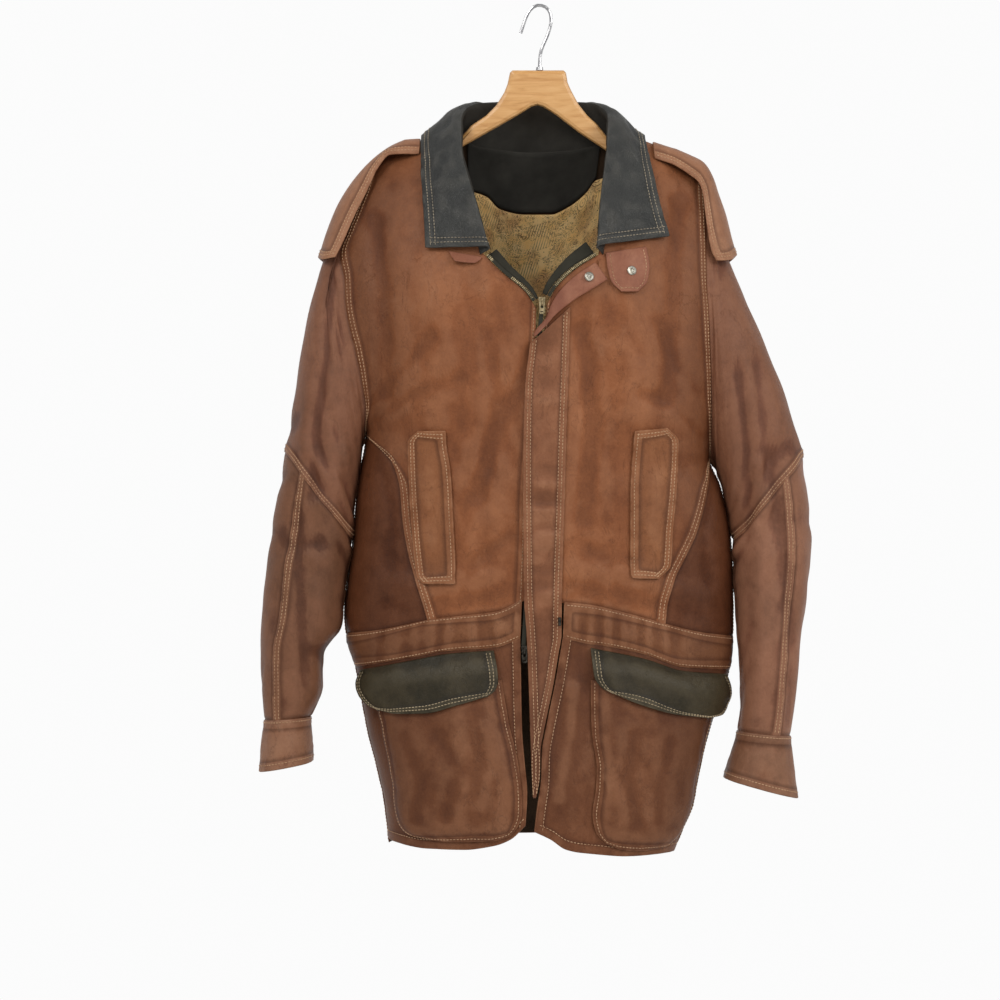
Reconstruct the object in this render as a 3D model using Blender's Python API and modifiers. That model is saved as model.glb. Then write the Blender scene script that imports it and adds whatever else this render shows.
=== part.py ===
# Worn leather coat on a wooden hanger, hung by the hanger's hook.
# Standalone script: blender --background --python part.py
#
# The frame: the origin is the inside of the hook's crown, where a rail would
# lie. +X is to the right of someone who looks at the front of the coat, the
# front faces -Y, and +Z is up. The hanger lies in the plane y = 0.
# All sizes and places below are in millimetres. They become metres when a mesh is made.

import math

import bpy
import bmesh
import numpy as np
from mathutils import Matrix, Vector

MM = 0.001

# Driving sizes
WALL = 1.6             # leather of the body, skirts and sleeves
SEAM_HALF_GAP = 0.18   # each panel stops this far short of its seam line
LAYER_GAP = 0.85       # air under a layer that lies on a panel
CHEST_DEPTH = 106.0    # the front stands this far before the hanger's plane
BACK_DEPTH = 74.0      # the back stands this far behind it
SHOULDER_DROP = 210.0  # below the shoulder line the body is at its full depth
SIDE_TURN = math.pi / 2 - 1e-6   # angle of the side seams, just on the front
SECTION_POWER = 0.75   # roundness of the body's section: 1 is an ellipse
CENTRE_X = -4.0        # middle of the body, a little beside the hook
COLLAR_WALL = 2.2
CUFF_WALL = 2.4
LINING_WALL = 1.2
HANGER_THICK = 12.0
HOOK_WIRE = 4.0

# Shoulder line: height of the body's ridge at each x
RIDGE = [(-252, -245), (-234, -226), (-220, -211), (-203, -192), (-175, -175), (-140, -161),
         (-102, -153), (-60, -141), (0, -134), (50, -141), (89, -153), (120, -160), (144, -169),
         (170, -182), (196, -193), (210, -209), (228, -238)]
# Side edges of the body seen from the front. Above the armpits they lie inside the sleeves.
EDGE_LEFT = [(-252, -196), (-262, -248), (-268, -302), (-264, -340), (-254, -390), (-243, -425),
             (-228, -463), (-217, -490), (-210, -518), (-219, -574), (-224, -622), (-227, -658),
             (-233, -698), (-236, -734), (-233, -763), (-223, -797), (-216, -833), (-208, -876),
             (-197, -920), (-188, -961), (-182, -1012)]
EDGE_RIGHT = [(216, -196), (219, -256), (222, -320), (224, -384), (222, -442), (216, -485),
              (208, -520), (205, -547), (218, -581), (229, -630), (233, -677), (234, -742),
              (230, -798), (216, -841), (199, -899), (191, -936), (185, -968), (173, -996),
              (162, -1024)]
# Depth of the front and of the back at each height
FRONT_DEPTH = [(0.95, -130), (0.99, -300), (1.0, -420), (0.98, -560), (0.93, -700), (0.90, -775),
               (0.96, -850), (1.02, -940), (0.99, -1024)]
BACK_DEPTHS = [(1.0, -130), (1.0, -420), (0.94, -600), (0.86, -760), (0.95, -880), (1.0, -1024)]

# Seam lines, as (x, z) seen from the front
ARMHOLE_LEFT = [(-203, -192), (-210, -222), (-220, -248), (-229, -272), (-239, -302),
                (-234, -330), (-232, -362), (-227, -390), (-219, -420), (-211, -463),
                (-208, -490), (-210, -518)]
ARMHOLE_RIGHT = [(202, -199), (198, -222), (199, -256), (199, -320), (202, -384), (204, -442),
                 (205, -500), (205, -547)]
CURVED_SEAM_LEFT = [(-210, -518), (-200, -528), (-178, -548), (-167, -581), (-163, -622),
                    (-155, -666), (-145, -698), (-133, -741)]
CURVED_SEAM_RIGHT = [(205, -547), (199, -587), (186, -635), (172, -666), (158, -695),
                     (151, -720), (148, -746)]
NECKLINE_LEFT = [(-102, -153), (-98, -180), (-89, -215), (-79, -250), (-68, -305)]
NECKLINE_RIGHT = [(89, -153), (85, -180), (79, -223), (75, -256), (71, -305)]
BACK_NECKLINE = [(-102, -153), (-84, -166), (-50, -176), (-6, -179), (40, -176), (72, -166),
                 (89, -153)]
ZIP_LEFT = [(-68, -305), (-46, -327), (-18, -351), (-5, -370)]
ZIP_RIGHT = [(71, -305), (40, -325), (18, -347), (8, -365)]
CHAIN = [(1.5, -372), (-6, -478), (-12, -598), (-17, -718), (-20, -772)]
# Seams of the waistband and the hems run from the side to the middle
WAIST_TOP_LEFT = [(-235, -760), (-197, -755), (-133, -741), (-98, -737), (-55, -732),
                  (-38, -726), (-22, -716)]
WAIST_TOP_RIGHT = [(233, -763), (191, -757), (148, -746), (104, -734), (61, -724), (25, -720),
                   (-12, -716)]
WAIST_LOW_LEFT = [(-223, -797), (-204, -794), (-155, -785), (-107, -776), (-55, -772),
                  (-24, -761)]
WAIST_LOW_RIGHT = [(230, -800), (169, -796), (126, -781), (77, -770), (55, -767), (27, -760)]
WAIST_TOP_BACK_SIDE = -762
WAIST_TOP_BACK = -750
WAIST_LOW_BACK_SIDE = -799
WAIST_LOW_BACK = -787
HEM_LEFT = [(-182, -1006), (-137, -1013), (-90, -1013), (-55, -1008), (-35, -1000), (-18, -984)]
HEM_RIGHT = [(162, -1020), (104, -1021), (47, -1016), (30, -1012), (12, -1000), (-7, -991)]
HEM_BACK_SIDE = -1012
HEM_BACK = -1006
SKIRT_EDGE_LEFT = [(-24, -761), (-23, -838), (-22, -874), (-19, -910), (-16, -946), (-18, -984)]
SKIRT_EDGE_RIGHT = [(27, -760), (18, -814), (13, -838), (6, -872), (2, -896), (1, -926),
                    (-4, -965), (-7, -991)]


def smooth(keys, values):
    """A curve through the given values that never overshoots them."""
    order = np.argsort(keys)
    keys = np.array(keys, float)[order]
    values = np.array(values, float)[order]
    step = np.diff(keys)
    slope = np.diff(values) / step
    product = slope[:-1] * slope[1:]
    total = slope[:-1] + slope[1:]
    tangent = np.empty(len(keys))
    tangent[0] = slope[0]
    tangent[-1] = slope[-1]
    flat = product <= 0
    tangent[1:-1] = np.where(flat, 0.0, 2 * product / np.where(flat, 1.0, total))

    def at(value):
        value = np.clip(value, keys[0], keys[-1])
        i = np.clip(np.searchsorted(keys, value) - 1, 0, len(keys) - 2)
        t = (value - keys[i]) / step[i]
        run = step[i]
        return ((1 + 2 * t) * (1 - t) ** 2 * values[i] + t * (1 - t) ** 2 * run * tangent[i]
                + t * t * (3 - 2 * t) * values[i + 1] + t * t * (t - 1) * run * tangent[i + 1])
    return at


def by_height(points):
    return smooth([p[1] for p in points], [p[0] for p in points])


ridge_at = smooth([p[0] for p in RIDGE], [p[1] for p in RIDGE])
left_at = by_height(EDGE_LEFT)
right_at = by_height(EDGE_RIGHT)
front_share_at = by_height(FRONT_DEPTH)
back_share_at = by_height(BACK_DEPTHS)

# Soft folds of the leather: the line of each trough or ridge seen from the front or the
# back, its half width and its depth. A negative depth stands out.
FRONT_FOLDS = [
    ([(-198, -262), (-188, -350), (-186, -470)], 15, 6.0),
    ([(-6, -425), (-40, -490), (-74, -590)], 17, 5.0),
    ([(-120, -330), (-112, -430), (-122, -500)], 20, -4.0),
    ([(52, -395), (60, -500), (52, -620)], 13, 4.0),
    ([(168, -240), (158, -340), (154, -470)], 16, 5.0),
    ([(112, -320), (104, -420), (112, -490)], 20, -4.0),
    ([(-200, -700), (-130, -700), (-60, -690)], 16, -3.5),
    ([(40, -680), (110, -690), (200, -715)], 16, -3.5),
]
BACK_FOLDS = [
    ([(-150, -300), (-120, -450), (-135, -640)], 20, 6.0),
    ([(-70, -330), (-52, -480), (-64, -690)], 22, -5.0),
    ([(-10, -420), (4, -560), (-4, -700)], 18, 5.0),
    ([(74, -330), (56, -480), (68, -690)], 22, -5.0),
    ([(148, -310), (122, -460), (138, -650)], 20, 6.0),
    ([(-110, -820), (-104, -900), (-112, -985)], 18, 5.0),
    ([(0, -815), (8, -900), (2, -985)], 20, -5.0),
    ([(104, -820), (98, -900), (106, -985)], 18, 5.0),
]


def distance_to_line(x, z, line):
    nearest = np.full(np.shape(x), 1e9)
    for (x0, z0), (x1, z1) in zip(line[:-1], line[1:]):
        run_x = x1 - x0
        run_z = z1 - z0
        t = np.clip(((x - x0) * run_x + (z - z0) * run_z) / (run_x ** 2 + run_z ** 2), 0, 1)
        nearest = np.minimum(nearest, np.hypot(x - x0 - t * run_x, z - z0 - t * run_z))
    return nearest


def fold_depth(x, z, folds):
    depth = np.zeros(np.shape(x))
    for line, width, size in folds:
        depth += size * np.exp(-(distance_to_line(x, z, line) / width) ** 2)
    return depth


def half_width(z, left):
    return np.where(left, CENTRE_X - left_at(z), right_at(z) - CENTRE_X)


def angle_of(x, z, back=False):
    """Angle round the body of a point seen from the front: 0 is the middle of the front."""
    share = np.clip((x - CENTRE_X) / half_width(z, x < CENTRE_X), -1, 1)
    angle = np.arcsin(share)
    return math.pi - angle if back else angle


def shell(angle, z, lift=0.0):
    """Points of the body's outer surface, moved out by lift, and their outward directions."""
    angle = np.asarray(angle, float)
    z = np.asarray(z, float)
    share = np.sin(angle)
    left = share < 0
    width = half_width(z, left)
    x = CENTRE_X + width * share
    front = np.cos(angle) > 0
    depth = np.where(front, CHEST_DEPTH * front_share_at(z), BACK_DEPTH * back_share_at(z))
    step = 0.5
    depth_up = np.where(front, CHEST_DEPTH * front_share_at(z + step),
                        BACK_DEPTH * back_share_at(z + step))
    depth_slope = (depth_up - depth) / step
    width_slope = (half_width(z + step, left) - width) / step
    drop = np.clip((ridge_at(x) - z) / SHOULDER_DROP, 1e-7, 1)
    ridge_slope = (ridge_at(x + step) - ridge_at(x - step)) / (2 * step)
    steep = 2 * drop - drop * drop
    inside = np.maximum(np.cos(angle) ** 2, 1e-7)
    shoulder = steep ** (2 * SECTION_POWER)
    section = inside ** SECTION_POWER
    y = depth * np.sqrt(shoulder * section) * np.where(front, -1, 1)
    rise = 2 * SECTION_POWER * steep ** (2 * SECTION_POWER - 1) * (2 - 2 * drop) / SHOULDER_DROP
    bend = SECTION_POWER * inside ** (SECTION_POWER - 1) * -2 * share
    slope_x = depth ** 2 * (rise * ridge_slope * section + shoulder * bend / width)
    slope_z = (2 * depth * depth_slope * shoulder * section
               + depth ** 2 * (-rise * section
                               + shoulder * bend * -(x - CENTRE_X) * width_slope / width ** 2))
    normal = -np.stack([slope_x, -2 * y, slope_z], axis=-1)
    normal /= np.linalg.norm(normal, axis=-1, keepdims=True)
    facing = np.abs(normal[..., 1])
    dents = np.where(front, fold_depth(x, z, FRONT_FOLDS), fold_depth(x, z, BACK_FOLDS))
    point = np.stack([x, y, z], axis=-1) + normal * (lift - dents * facing)[..., None]
    return point, normal


# The solids are built in a collection named for the coat
coat = bpy.data.collections.new("leather_coat_on_hanger")


def surface_look(name, colour, roughness, metallic=0.0):
    look = bpy.data.materials.new(name)
    look.use_nodes = True
    shader = look.node_tree.nodes["Principled BSDF"]
    shader.inputs["Base Color"].default_value = (*colour, 1.0)
    shader.inputs["Roughness"].default_value = roughness
    shader.inputs["Metallic"].default_value = metallic
    look.diffuse_color = (*colour, 1.0)
    return look


LEATHER = ((0.205, 0.085, 0.042), 0.52, 0.0)
COLLAR_LEATHER = ((0.042, 0.044, 0.041), 0.45, 0.0)
POCKET_LEATHER = ((0.045, 0.040, 0.026), 0.5, 0.0)
INNER_LEATHER = ((0.30, 0.105, 0.065), 0.6, 0.0)
BLACK_CLOTH = ((0.012, 0.012, 0.013), 0.8, 0.0)
PRINTED_CLOTH = ((0.38, 0.22, 0.08), 0.75, 0.0)
WOOD = ((0.64, 0.36, 0.14), 0.45, 0.0)
CHROME = ((0.75, 0.75, 0.76), 0.15, 1.0)
BRASS = ((0.50, 0.44, 0.30), 0.3, 1.0)
NICKEL = ((0.55, 0.54, 0.50), 0.3, 1.0)


def finish(name, mesh, look):
    thing = bpy.data.objects.new(name, mesh)
    thing.data.materials.clear()
    thing.data.materials.append(surface_look(name, *look))
    coat.objects.link(thing)
    return thing


def wall(name, outer, inner, look, ring=False):
    """One closed wall lofted between an outer and an inner grid of points."""
    rows, columns = outer.shape[:2]
    mesh = bpy.data.meshes.new(name)
    form = bmesh.new()
    far = [[form.verts.new(Vector(p) * MM) for p in row] for row in outer]
    near = [[form.verts.new(Vector(p) * MM) for p in row] for row in inner]
    across = range(columns if ring else columns - 1)
    for i in range(rows - 1):
        for j in across:
            k = (j + 1) % columns
            form.faces.new((far[i][j], far[i][k], far[i + 1][k], far[i + 1][j]))
            form.faces.new((near[i][j], near[i + 1][j], near[i + 1][k], near[i][k]))
        if not ring:
            form.faces.new((far[i][0], far[i + 1][0], near[i + 1][0], near[i][0]))
            form.faces.new((far[i][-1], near[i][-1], near[i + 1][-1], far[i + 1][-1]))
    for j in across:
        k = (j + 1) % columns
        form.faces.new((far[0][j], near[0][j], near[0][k], far[0][k]))
        form.faces.new((far[-1][j], far[-1][k], near[-1][k], near[-1][j]))
    if form.calc_volume(signed=True) < 0:
        bmesh.ops.reverse_faces(form, faces=form.faces)
    form.to_mesh(mesh)
    form.free()
    mesh.shade_smooth()
    mesh.set_sharp_from_angle(angle=math.radians(50))
    return finish(name, mesh, look)


def shorten(points, top=SEAM_HALF_GAP):
    """Draw the edges of a grid back from its seam lines along its own surface."""
    points = points.copy()

    def draw_back(edge, next_line, gap=SEAM_HALF_GAP):
        run = next_line - edge
        return edge + gap * run / np.linalg.norm(run, axis=-1, keepdims=True)
    points[0] = draw_back(points[0], points[1], top)
    points[-1] = draw_back(points[-1], points[-2])
    points[:, 0] = draw_back(points[:, 0], points[:, 1])
    points[:, -1] = draw_back(points[:, -1], points[:, -2])
    return points


def trace(points, count, shares=None):
    """Points spread along a smooth line through the given ones."""
    points = np.array(points, float)
    along = np.concatenate([[0], np.cumsum(np.hypot(*np.diff(points, axis=0).T))])
    shares = np.linspace(0, 1, count + 1) if shares is None else np.array(shares)
    where = shares * along[-1]
    return np.stack([smooth(along, points[:, axis])(where) for axis in (0, 1)], axis=-1)


def on_body(points, back=False):
    """The same line as angles round the body and heights."""
    return np.stack([angle_of(points[:, 0], points[:, 1], back), points[:, 1]], axis=-1)


def fill(top, bottom, left, right):
    """A grid between four edge lines that share their corners."""
    down = np.linspace(0, 1, len(left))[:, None, None]
    along = np.linspace(0, 1, len(top))[None, :, None]
    return ((1 - down) * top[None] + down * bottom[None]
            + (1 - along) * left[:, None] + along * right[:, None]
            - (1 - down) * ((1 - along) * top[0] + along * top[-1])
            - down * ((1 - along) * bottom[0] + along * bottom[-1]))


def body_panel(name, grid, look=LEATHER, thickness=WALL, lift=0.0):
    outer, out = shell(grid[..., 0], grid[..., 1], lift)
    inner = outer - out * thickness
    wall(name, shorten(outer), shorten(inner), look)


# Rows of the body's panels: those along the armhole are shared with the sleeves
ARMHOLE_ROWS = 12
LOWER_ROWS = 6
FRONT_COLUMNS = (5, 4, 3)   # along the shoulder, the neckline and the zip
SIDE_COLUMNS = 3
BACK_COLUMNS = 18
ZIP_HALF = 3.6              # half the gap between the fronts along the closed zip
CHAIN_HALF = 2.4            # half the width of the teeth in it
GUSSET_START = 0.2          # the side piece starts this share of a row below the armpit
BAND_ROWS = 2
BAND_SWELL = 2.5            # the waistband stands out over the cord inside it
SKIRT_ROWS = 8
FLY_COVER = 0.13            # angle where the right waistband and skirt start, at the fly


def armhole(seam, turn):
    """A point of the armhole: turn 0 is the shoulder, pi the armpit, past pi the back."""
    top = ridge_at(seam[0][0])
    z = top + (seam[-1][1] - top) * (1 - np.cos(turn)) / 2
    return by_height(seam)(z), z


def armhole_line(seam):
    return np.stack(armhole(seam, np.linspace(0, math.pi, ARMHOLE_ROWS + 1)), axis=-1)


def part_at(points, x):
    """The stretches of a line on either side of its point at x."""
    i = [p[0] for p in points].index(x)
    return points[:i + 1], points[i:]


SIDES = {
    "left": dict(seam=ARMHOLE_LEFT, curved=CURVED_SEAM_LEFT, neck=NECKLINE_LEFT, zip=ZIP_LEFT,
                 waist=WAIST_TOP_LEFT, waist_low=WAIST_LOW_LEFT, hem=HEM_LEFT,
                 skirt_edge=SKIRT_EDGE_LEFT, chain=-ZIP_HALF, edge=-SIDE_TURN),
    "right": dict(seam=ARMHOLE_RIGHT, curved=CURVED_SEAM_RIGHT, neck=NECKLINE_RIGHT,
                  zip=ZIP_RIGHT, waist=WAIST_TOP_RIGHT, waist_low=WAIST_LOW_RIGHT,
                  hem=HEM_RIGHT, skirt_edge=SKIRT_EDGE_RIGHT, chain=ZIP_HALF,
                  edge=SIDE_TURN),
}


def front_and_side(side):
    """The front, its side piece, the waistband's half and the skirt's half below them."""
    cut = SIDES[side]
    seam = cut["seam"]
    on_ridge = np.linspace(seam[0][0], cut["neck"][0][0], FRONT_COLUMNS[0] + 1)
    shoulder = np.stack([on_ridge, ridge_at(on_ridge)], axis=-1)
    top = np.concatenate([shoulder, trace(cut["neck"], FRONT_COLUMNS[1])[1:],
                          trace(cut["zip"], FRONT_COLUMNS[2])[1:]])
    outer_edge = np.concatenate([armhole_line(seam), trace(cut["curved"], LOWER_ROWS)[1:]])
    waist_side, waist_front = part_at(cut["waist"], cut["curved"][-1][0])
    middle = np.array(CHAIN, float) + (cut["chain"], 0)
    middle[0] = cut["zip"][-1]
    middle[-1] = waist_front[-1]
    low = on_body(trace(waist_front, len(top) - 1))
    front = fill(on_body(top), low, on_body(outer_edge),
                 on_body(trace(middle, len(outer_edge) - 1)))
    body_panel("front_" + side, front)

    curved = outer_edge[ARMHOLE_ROWS:].copy()
    curved[0] = curved[0] + GUSSET_START * (curved[1] - curved[0])
    heights = np.linspace(outer_edge[ARMHOLE_ROWS, 1], waist_side[0][1], LOWER_ROWS + 1)
    heights[0] = curved[0, 1]
    side_edge = np.stack([np.full(LOWER_ROWS + 1, cut["edge"]), heights], axis=-1)
    side_low = on_body(trace(waist_side, SIDE_COLUMNS))
    side_low[0] = side_edge[-1]
    curved = on_body(curved)
    gusset_top = np.linspace(side_edge[0], curved[0], SIDE_COLUMNS + 1)
    gusset = fill(gusset_top, side_low, side_edge, curved)
    outer, out = shell(gusset[..., 0], gusset[..., 1])
    inner = outer - out * WALL
    edge, edge_out = shell(*front[ARMHOLE_ROWS:ARMHOLE_ROWS + 2, 0].T)
    for points, line in ((outer, edge), (inner, edge - edge_out * WALL)):
        points[0, -1] = line[0] + GUSSET_START * (line[1] - line[0])
        points[0] = np.linspace(points[0, 0], points[0, -1], SIDE_COLUMNS + 1)
    wall("side_" + side, shorten(outer), shorten(inner), LEATHER)

    band_top = np.concatenate([side_low, low[1:]])
    band_low = on_body(trace(cut["waist_low"], len(band_top) - 1))
    band_low[0, 0] = cut["edge"]
    if side == "right":
        band_top = band_top[band_top[:, 0] > FLY_COVER]
        band_low = on_body(trace(cut["waist_low"], len(band_top) - 1))
        band_low[0, 0] = cut["edge"]
    band(side, band_top, band_low)

    hem = on_body(trace(cut["hem"], len(band_low) - 1))
    hem[0, 0] = cut["edge"]
    heights = np.linspace(band_low[0, 1], hem[0, 1], SKIRT_ROWS + 1)
    side_edge = np.stack([np.full(SKIRT_ROWS + 1, cut["edge"]), heights], axis=-1)
    front_edge = on_body(trace(cut["skirt_edge"], SKIRT_ROWS))
    body_panel("skirt_front_" + side, fill(band_low, hem, side_edge, front_edge))


def band(name, top, low):
    """A stretch of the waistband, its middle standing out over the cord inside it."""
    rows = np.linspace(0, 1, BAND_ROWS + 1)[:, None, None]
    grid = (1 - rows) * top[None] + rows * low[None]
    swell = BAND_SWELL * np.sin(math.pi * rows[..., 0]) * np.ones(len(top))
    outer, out = shell(grid[..., 0], grid[..., 1], swell)
    inner = outer - out * WALL
    wall("waistband_" + name, shorten(outer), shorten(inner), LEATHER)


def back():
    """The back, its waistband and the back of the skirt."""
    left = armhole_line(ARMHOLE_LEFT)
    right = armhole_line(ARMHOLE_RIGHT)
    count = BACK_COLUMNS // 3
    to_neck = np.linspace(left[0, 0], BACK_NECKLINE[0][0], count + 1)
    from_neck = np.linspace(BACK_NECKLINE[-1][0], right[0, 0], count + 1)
    top = np.concatenate([np.stack([to_neck, ridge_at(to_neck)], axis=-1),
                          trace(BACK_NECKLINE, count)[1:],
                          np.stack([from_neck, ridge_at(from_neck)], axis=-1)[1:]])
    top = on_body(top, back=True)
    edges = []
    for arm, turn in ((left, math.pi + SIDE_TURN), (right, math.pi - SIDE_TURN)):
        upper = on_body(arm, back=True)
        upper[-1, 0] = turn
        lower = np.linspace(upper[-1], (turn, WAIST_TOP_BACK_SIDE), LOWER_ROWS + 1)
        edges.append(np.concatenate([upper, lower[1:]]))
    turns = np.linspace(math.pi + SIDE_TURN, math.pi - SIDE_TURN, BACK_COLUMNS + 1)
    dip = 1 - np.sin(turns) ** 2

    def across(side_height, middle_height):
        return np.stack([turns, side_height + (middle_height - side_height) * dip], axis=-1)
    low = across(WAIST_TOP_BACK_SIDE, WAIST_TOP_BACK)
    body_panel("back", fill(top, low, edges[0], edges[1]))
    band_low = across(WAIST_LOW_BACK_SIDE, WAIST_LOW_BACK)
    band("back", low, band_low)
    hem = across(HEM_BACK_SIDE, HEM_BACK)
    rows = np.linspace(0, 1, SKIRT_ROWS + 1)[:, None, None]
    body_panel("skirt_back", (1 - rows) * band_low[None] + rows * hem[None])


# Sleeves: rings from the armhole down, each with its outer and inner point seen from the
# front, its half depth and the middle of its depth
RINGS = {
    "left": [(-203, -192, -210, -518, 45, -8), (-221, -214, -212, -523, 46, -8),
             (-238, -246, -215, -529, 50, -8), (-254, -283, -218, -540, 55, -8),
             (-269, -334, -221, -558, 60, -8), (-286, -406, -224, -582, 62, -8),
             (-297, -475, -227, -610, 62, -9), (-307, -538, -230, -642, 61, -10),
             (-318, -598, -234, -673, 59, -12), (-327, -660, -239, -708, 57, -14),
             (-334, -724, -246, -748, 55, -16), (-337, -778, -262, -784, 52, -18),
             (-336, -823, -263, -823, 49, -19), (-332, -863, -277, -859, 46, -20)],
    "right": [(202, -197, 205, -547, 45, -8), (206, -214, 208.5, -552, 46, -8),
              (211, -244, 212.5, -558, 50, -8), (219, -283, 217.5, -569, 55, -8),
              (240, -332, 224, -586, 60, -8), (271, -404, 228, -604, 62, -8),
              (298, -477, 232, -622, 62, -9), (316, -545, 236, -646, 61, -10),
              (325, -608, 240, -673, 59, -12), (327, -658, 242, -706, 57, -14),
              (322, -708, 243, -744, 55, -16), (314, -766, 243, -784, 52, -18),
              (308, -826, 241, -836, 49, -19), (302, -882, 239, -876, 46, -20)],
}
CUFF_RINGS = {
    "left": [(-332.4, -863.3, -276.4, -859.3, 46.4, -20), (-336, -892, -274, -888, 48, -21),
             (-338, -924, -273, -912, 48, -22)],
    "right": [(302.4, -882.4, 238.6, -876.4, 46.4, -20), (306, -915, 230, -904, 48, -21),
              (311, -956, 221, -932, 48, -22)],
}
SLEEVE_HEAD_GAP = 0.5  # the sleeve's head stands this far off the armhole's line
ELBOW_RING = 7
LAST_RING = 13
BLEND_RINGS = 5.0      # the sleeve takes up its own section over this many rings
UNDER_SEAM = 12        # column of the under-arm seam; column 0 is the outer edge
BACK_SEAM = -3         # column of the seam at the back of the upper sleeve
FOREARM_SEAM = 4       # column of the long stitched seam at the front of the forearm
SLEEVE_FOLDS = {
    "left": ([([(-254, -306), (-258, -373), (-256, -426), (-268, -500), (-272, -590)], 9, 6.0),
              ([(-236, -540), (-250, -600), (-243, -640)], 12, -4.0),
              ([(-300, -500), (-290, -640), (-282, -760), (-278, -850)], 10, 4.0),
              ([(-315, -640), (-300, -655), (-262, -650)], 9, 3.5)],
             [([(-250, -330), (-262, -450), (-268, -560)], 12, 5.0),
              ([(-290, -560), (-284, -700), (-290, -820)], 12, 4.0),
              ([(-320, -655), (-280, -640)], 11, 3.5)]),
    "right": ([([(238, -440), (243, -500), (246, -560), (246, -640)], 9, 5.0),
               ([(262, -430), (268, -500), (284, -610), (296, -690), (304, -770)], 10, 5.5),
               ([(262, -540), (280, -545), (300, -535)], 10, 3.5),
               ([(262, -640), (266, -740), (262, -860)], 12, -3.5)],
              [([(240, -380), (256, -500), (262, -600)], 12, 5.0),
               ([(290, -600), (286, -720), (276, -830)], 12, 4.0),
               ([(310, -640), (268, -630)], 11, 3.5)]),
}


def ring_point(rings, place, turn):
    """A point of a sleeve's plain tube: place counts rings, turn 0 is the outer edge."""
    outer_x, outer_z, inner_x, inner_z, depth, middle = (
        smooth(np.arange(len(rings)), column)(place) for column in np.array(rings, float).T)
    along = (1 + np.cos(turn)) / 2
    bulge = np.sign(np.sin(turn)) * np.abs(np.sin(turn)) ** 0.9
    return np.stack([inner_x + (outer_x - inner_x) * along, middle - depth * bulge,
                     inner_z + (outer_z - inner_z) * along], axis=-1)


def sleeve_base(side, place, turn):
    """The sleeve's tube, drawn at the top to the armhole of the body."""
    point = ring_point(RINGS[side], place, turn)
    share = np.clip(place / BLEND_RINGS, 0, 1)
    keep = 1 - share * share * (3 - 2 * share)
    x, z = armhole(SIDES[side]["seam"], turn)
    behind = np.mod(turn, 2 * math.pi) > math.pi
    angle = np.where(behind, angle_of(x, z, True), angle_of(x, z))
    seam = shell(angle, z)[0]
    first = ring_point(RINGS[side], np.zeros_like(place), turn)
    return point + keep[..., None] * (seam - first)


def outward(point_at, place, turn, top, low):
    """Directions that stand straight out of a tube."""
    step = 0.02
    a = np.clip(place - step, top, low)
    b = np.clip(place + step, top, low)
    down = point_at(b, turn) - point_at(a, turn)
    around = point_at(place, turn + step) - point_at(place, turn - step)
    normal = np.cross(around, down)
    return normal / np.linalg.norm(normal, axis=-1, keepdims=True)


def sleeve(side, place, turn, lift=0.0):
    place, turn = np.broadcast_arrays(np.asarray(place, float), np.asarray(turn, float))
    point = sleeve_base(side, place, turn)
    normal = outward(lambda p, t: sleeve_base(side, p, t), np.maximum(place, 0.03), turn,
                     0, LAST_RING)
    middle = (ring_point(RINGS[side], place, np.zeros_like(turn))
              + ring_point(RINGS[side], place, np.full_like(turn, math.pi))) / 2
    flip = np.sum((point - middle) * normal, axis=-1, keepdims=True) < 0
    normal = np.where(flip, -normal, normal)
    front, behind = SLEEVE_FOLDS[side]
    dents = np.where(normal[..., 1] < 0, fold_depth(point[..., 0], point[..., 2], front),
                     fold_depth(point[..., 0], point[..., 2], behind))
    fade = np.clip((place - 0.5) / 2, 0, 1) * np.clip((LAST_RING - place) / 1.5, 0, 1)
    return point + normal * (lift - dents * fade * np.abs(normal[..., 1]))[..., None], normal


def sleeve_piece(name, side, first, last, start, end):
    rows = np.arange(first, last + 1)[:, None]
    turns = np.arange(start, end + 1)[None, :] * math.pi / ARMHOLE_ROWS
    outer, out = sleeve(side, rows, turns)
    if first == 0:
        x, z = armhole(SIDES[side]["seam"], turns[0])
        behind = np.mod(turns[0], 2 * math.pi) > math.pi
        angle = np.where(behind, angle_of(x, z, True), angle_of(x, z))
        seam_out = shell(angle, z)[1]
        share = np.clip(np.cos(turns[0]), 0, 1)[:, None]
        out[0] = out[0] * (1 - share) + seam_out * share
        out[0] /= np.linalg.norm(out[0], axis=-1, keepdims=True)
    inner = outer - out * WALL
    gap = SLEEVE_HEAD_GAP if first == 0 else SEAM_HALF_GAP
    wall(name, shorten(outer, gap), shorten(inner, gap), LEATHER)


def sleeves():
    full = 2 * ARMHOLE_ROWS
    for side in SIDES:
        sleeve_piece("sleeve_top_" + side, side, 0, ELBOW_RING, BACK_SEAM, UNDER_SEAM)
        sleeve_piece("sleeve_under_" + side, side, 0, ELBOW_RING, UNDER_SEAM, BACK_SEAM + full)
        sleeve_piece("forearm_front_" + side, side, ELBOW_RING, LAST_RING, FOREARM_SEAM,
                     UNDER_SEAM)
        sleeve_piece("forearm_back_" + side, side, ELBOW_RING, LAST_RING, UNDER_SEAM,
                     FOREARM_SEAM + full)
        cuff(side)


def cuff(side):
    rows = np.linspace(0, 2, 4)[:, None]
    turns = np.arange(2 * ARMHOLE_ROWS)[None, :] * math.pi / ARMHOLE_ROWS
    rows, turns = np.broadcast_arrays(rows, turns)
    rings = CUFF_RINGS[side]
    outer = ring_point(rings, rows, turns)
    middle = outer.mean(axis=1, keepdims=True)
    out = outer - middle
    out[..., 2] = 0
    out /= np.linalg.norm(out, axis=-1, keepdims=True)
    wall("cuff_" + side, outer, outer - out * CUFF_WALL, LEATHER, ring=True)


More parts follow.
